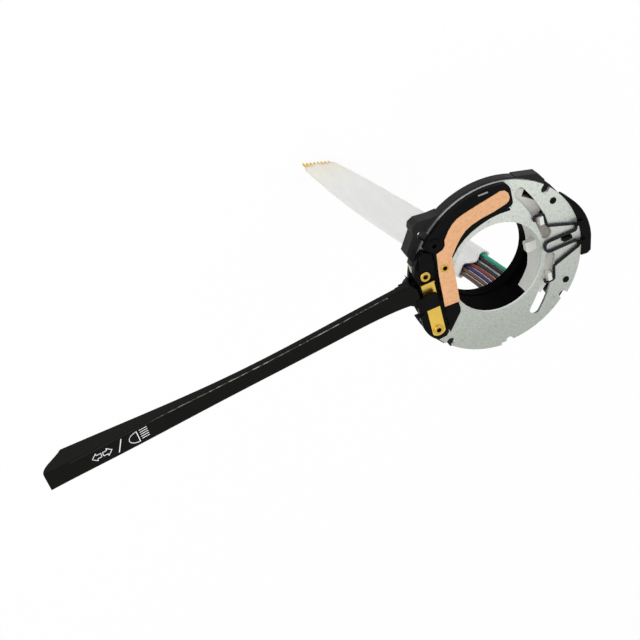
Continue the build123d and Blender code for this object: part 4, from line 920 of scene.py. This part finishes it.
class SWITCH_OT_mouldings(bpy.types.Operator):
    """Finishes of the moulded pieces"""

    bl_idname = "switch.mouldings"
    bl_label = "Finish mouldings"

    def execute(self, context):
        settings = context.scene.switch_finish
        # glass-filled nylon, moulded black: half-matt, with a fine eroded grain
        name = "Black glass-filled nylon moulding"
        black = moulding(name, settings.moulding_hex, 0.4, 0.5, 0.25, gloss=0.04)
        dress(
            black, "stake_pins", "spring_guard", "horn_contact_carrier", "leaf_base",
            "guide_block", "contact_pusher", "lever_yoke",
        )
        # the collar is a darker, duller copy of the black moulding: painted shade for its deep bore
        dress(moulding("Black nylon moulding, dull, painted bore shade", "#060606", 0.62, 0.5, 0.3, gloss=0.008), "column_collar")
        # the housing's skin is more matt, and a greyer copy of the black moulding: painted sheen for its lit
        # lug faces
        matt = moulding("Black glass-filled nylon, matt, painted sheen", "#1B1B1C", 0.5, 0.5, 0.35, gloss=0.12)
        dress(matt, "rear_housing")
        dress(greased_shaded_nylon(settings.nylon_hex), "turn_ring")
        # natural nylon without grease
        natural = moulding("Natural nylon moulding", settings.nylon_hex, 0.4, 0.8, 0.1)
        dress(natural, "cancel_finger")
        # lever skin: the same nylon over steel, with a coarser and more matt mould texture
        skin = moulding("Textured black lever skin", settings.lever_hex, 0.5, 0.7, 0.5, gloss=0.045)
        dress(skin, "lever_arm")
        # paper laminate, pressed: brown and even
        dress(moulding("Pressed paper laminate", "#6B4425", 0.45, 0.4, 0.3), "contact_board")
        self.margin(black)
        # a slim rib of black nylon, coloured pale as a painted highlight along its edge
        rib_highlight = moulding("Black nylon moulding, painted highlight", "#8C8C8B", 0.45, 0.5, 0.3, gloss=0.3)
        carry(slab("carrier_rib", (RIB_MM,), RIB_HEIGHTS_MM, RIB_ROUND_MM, rib_highlight), "base")
        # natural nylon yellowed by age
        aged = moulding("Natural nylon moulding, aged", "#BFB79F", 0.4, 0.8, 0.1)
        carry(slab("lever_rest_pad", (REST_MM,), REST_HEIGHTS_MM, REST_ROUND_MM, aged), "base")
        return {"FINISHED"}

    @staticmethod
    def margin(black):
        """Inner margin of the horn contact's carrier, along the strip's curve."""
        inner = [(r * cos(radians(angle)), r * sin(radians(angle))) for r, angle in MARGIN_MM]
        first, last = MARGIN_MM[0][1], MARGIN_MM[-1][1]
        steps = range(MARGIN_OUTER_STEPS + 1)
        turns = [radians(last + (first - last) * k / MARGIN_OUTER_STEPS) for k in steps]
        outer = [(MARGIN_OUTER_R_MM * cos(turn), MARGIN_OUTER_R_MM * sin(turn)) for turn in turns]
        piece = slab("carrier_margin", ((*inner, *outer),), MARGIN_HEIGHTS_MM, MARGIN_ROUND_MM, black)
        carry(piece, "base")


class SWITCH_OT_lever_details(bpy.types.Operator):
    """White symbols on the lever, its parting line, and the leg of its tilt spring"""

    bl_idname = "switch.lever_details"
    bl_label = "Build lever details"

    def execute(self, context):
        settings = context.scene.switch_finish
        surface = node_surface("lever_arm")
        self.print_symbols(surface)
        self.parting_line(surface, settings)
        # spring wire, drawn: near black
        wire = metal("Drawn blued spring wire, lever", "#2A282E", 0.3, 0.4, 3.0, 0.25)
        places = [Vector(place) * MM for place in SPRING_LEG_MM]
        leg = nurbs_line("tilt_spring_leg", places, wire, SPRING_LEG_TAPER)
        thicken(leg, SPRING_LEG_DIAMETER_MM)
        carry(leg, "yoke")
        return {"FINISHED"}

    @staticmethod
    def strokes():
        """Lines of the symbols as (points, width), in mm."""
        lines = []
        head, tail_half = ARROW_HALF_WIDTHS_MM
        for tip, tail, middle in ARROWS_MM:
            neck = tip - ARROW_HEAD_LENGTH_MM if tip > tail else tip + ARROW_HEAD_LENGTH_MM
            upper = [(tip, 0), (neck, head), (neck, tail_half), (tail, tail_half)]
            lower = [(reach, -across) for reach, across in reversed(upper)]
            lines.append(([(reach, middle + across) for reach, across in (*upper, *lower)], ARROW_STROKE_MM))
        lines.append((SLASH_MM, SLASH_STROKE_MM))
        # lamp: a bow closed by a straight glass, with beams before it
        reach, across = LAMP_CENTRE_MM
        depth, half_height = LAMP_RADII_MM
        turns = [pi * k / LAMP_STEPS for k in range(LAMP_STEPS + 1)]
        bow = [(reach + depth * sin(turn), across + half_height * cos(turn)) for turn in turns]
        lines.append(([*bow, bow[0]], LAMP_STROKE_MM))
        for place in BEAM_PLACES_MM:
            lines.append(([(reach, place) for reach in BEAM_REACH_MM], BEAM_STROKE_MM))
        return lines

    def print_symbols(self, surface):
        """White symbols, laid on the lever's front face."""
        look = Vector((0, 0, -1))
        slant = Vector((-1, 0, LEVER_SLOPE)).normalized()
        above = Vector(LEVER_ROOT_MM) + Vector((0, 0, RAY_START_MM))
        bm = bmesh.new()
        for outline, width in self.strokes():
            places = [above + slant * reach + Vector((0, across, 0)) for reach, across in outline]
            for start, end in zip(places, places[1:]):
                extend = (end - start).normalized() * width / 2
                first, last = start - extend, end + extend
                points = [first.lerp(last, k / STROKE_STEPS) * MM for k in range(STROKE_STEPS + 1)]
                ribbon(bm, surface, points, look, width * MM, PRINT_HEIGHT_MM * MM)
        ink = moulding("White pad-printed ink", "#E4E7EC", 0.5, 0.4, 0.1, ior=1.5)
        carry(mesh_object("printed_symbols", bm, ink, smooth=False), "lever")

    @staticmethod
    def parting_line(surface, settings):
        """Low seam along the lever's front edge, where the halves of its mould met."""
        look = Vector((0, -1, -1)).normalized()
        first, last = PARTING_RANGE_MM
        points = []
        for k in range(PARTING_STEPS + 1):
            reach = first + (last - first) * k / PARTING_STEPS
            above = Vector(LEVER_ROOT_MM) + Vector((-reach, 0, LEVER_SLOPE * reach + RAY_START_MM))
            front = surface.ray_cast(above * MM, Vector((0, 0, -1)))[0]
            beside = front + Vector((0, RAY_START_MM, -SIDE_BELOW_FRONT_MM)) * MM
            side = surface.ray_cast(beside, Vector((0, -1, 0)))[0]
            edge = Vector((front.x, side.y, front.z))
            points.append(edge + Vector((0, PARTING_STAND_OFF_MM, PARTING_STAND_OFF_MM)) * MM)
        bm = bmesh.new()
        ribbon(bm, surface, points, look, PARTING_WIDTH_MM * MM, PARTING_HEIGHT_MM * MM)
        piece = mesh_object("parting_line", bm, rubbed_edge(settings.lever_hex, "#A6A59F"), smooth=False)
        carry(piece, "lever")


class SWITCH_PT_panel(bpy.types.Panel):
    """Buttons for the pieces"""

    bl_idname = "SWITCH_PT_panel"
    bl_label = "Stalk Switch"
    bl_space_type = "VIEW_3D"
    bl_region_type = "UI"
    bl_category = "Stalk Switch"

    def draw(self, context):
        layout = self.layout
        scene = context.scene
        for settings in (scene.switch_stage, scene.switch_finish, scene.switch_wiring):
            for name in settings.__annotations__:
                layout.prop(settings, name)
        for operator in OPERATORS:
            layout.operator(operator.bl_idname)


OPERATORS = (
    SWITCH_OT_stage, SWITCH_OT_wiring, SWITCH_OT_metals, SWITCH_OT_mouldings, SWITCH_OT_lever_details,
)
CLASSES = (StageSettings, FinishSettings, WiringSettings, *OPERATORS, SWITCH_PT_panel)


def register():
    for item in CLASSES:
        bpy.utils.register_class(item)
    bpy.types.Scene.switch_stage = bpy.props.PointerProperty(type=StageSettings)
    bpy.types.Scene.switch_finish = bpy.props.PointerProperty(type=FinishSettings)
    bpy.types.Scene.switch_wiring = bpy.props.PointerProperty(type=WiringSettings)


def unregister():
    del bpy.types.Scene.switch_wiring
    del bpy.types.Scene.switch_finish
    del bpy.types.Scene.switch_stage
    for item in reversed(CLASSES):
        bpy.utils.unregister_class(item)


def main():
    register()
    bpy.ops.switch.stage()
    bpy.ops.switch.wiring()
    bpy.ops.switch.metals()
    bpy.ops.switch.mouldings()
    bpy.ops.switch.lever_details()


if __name__ == "__main__":
    main()
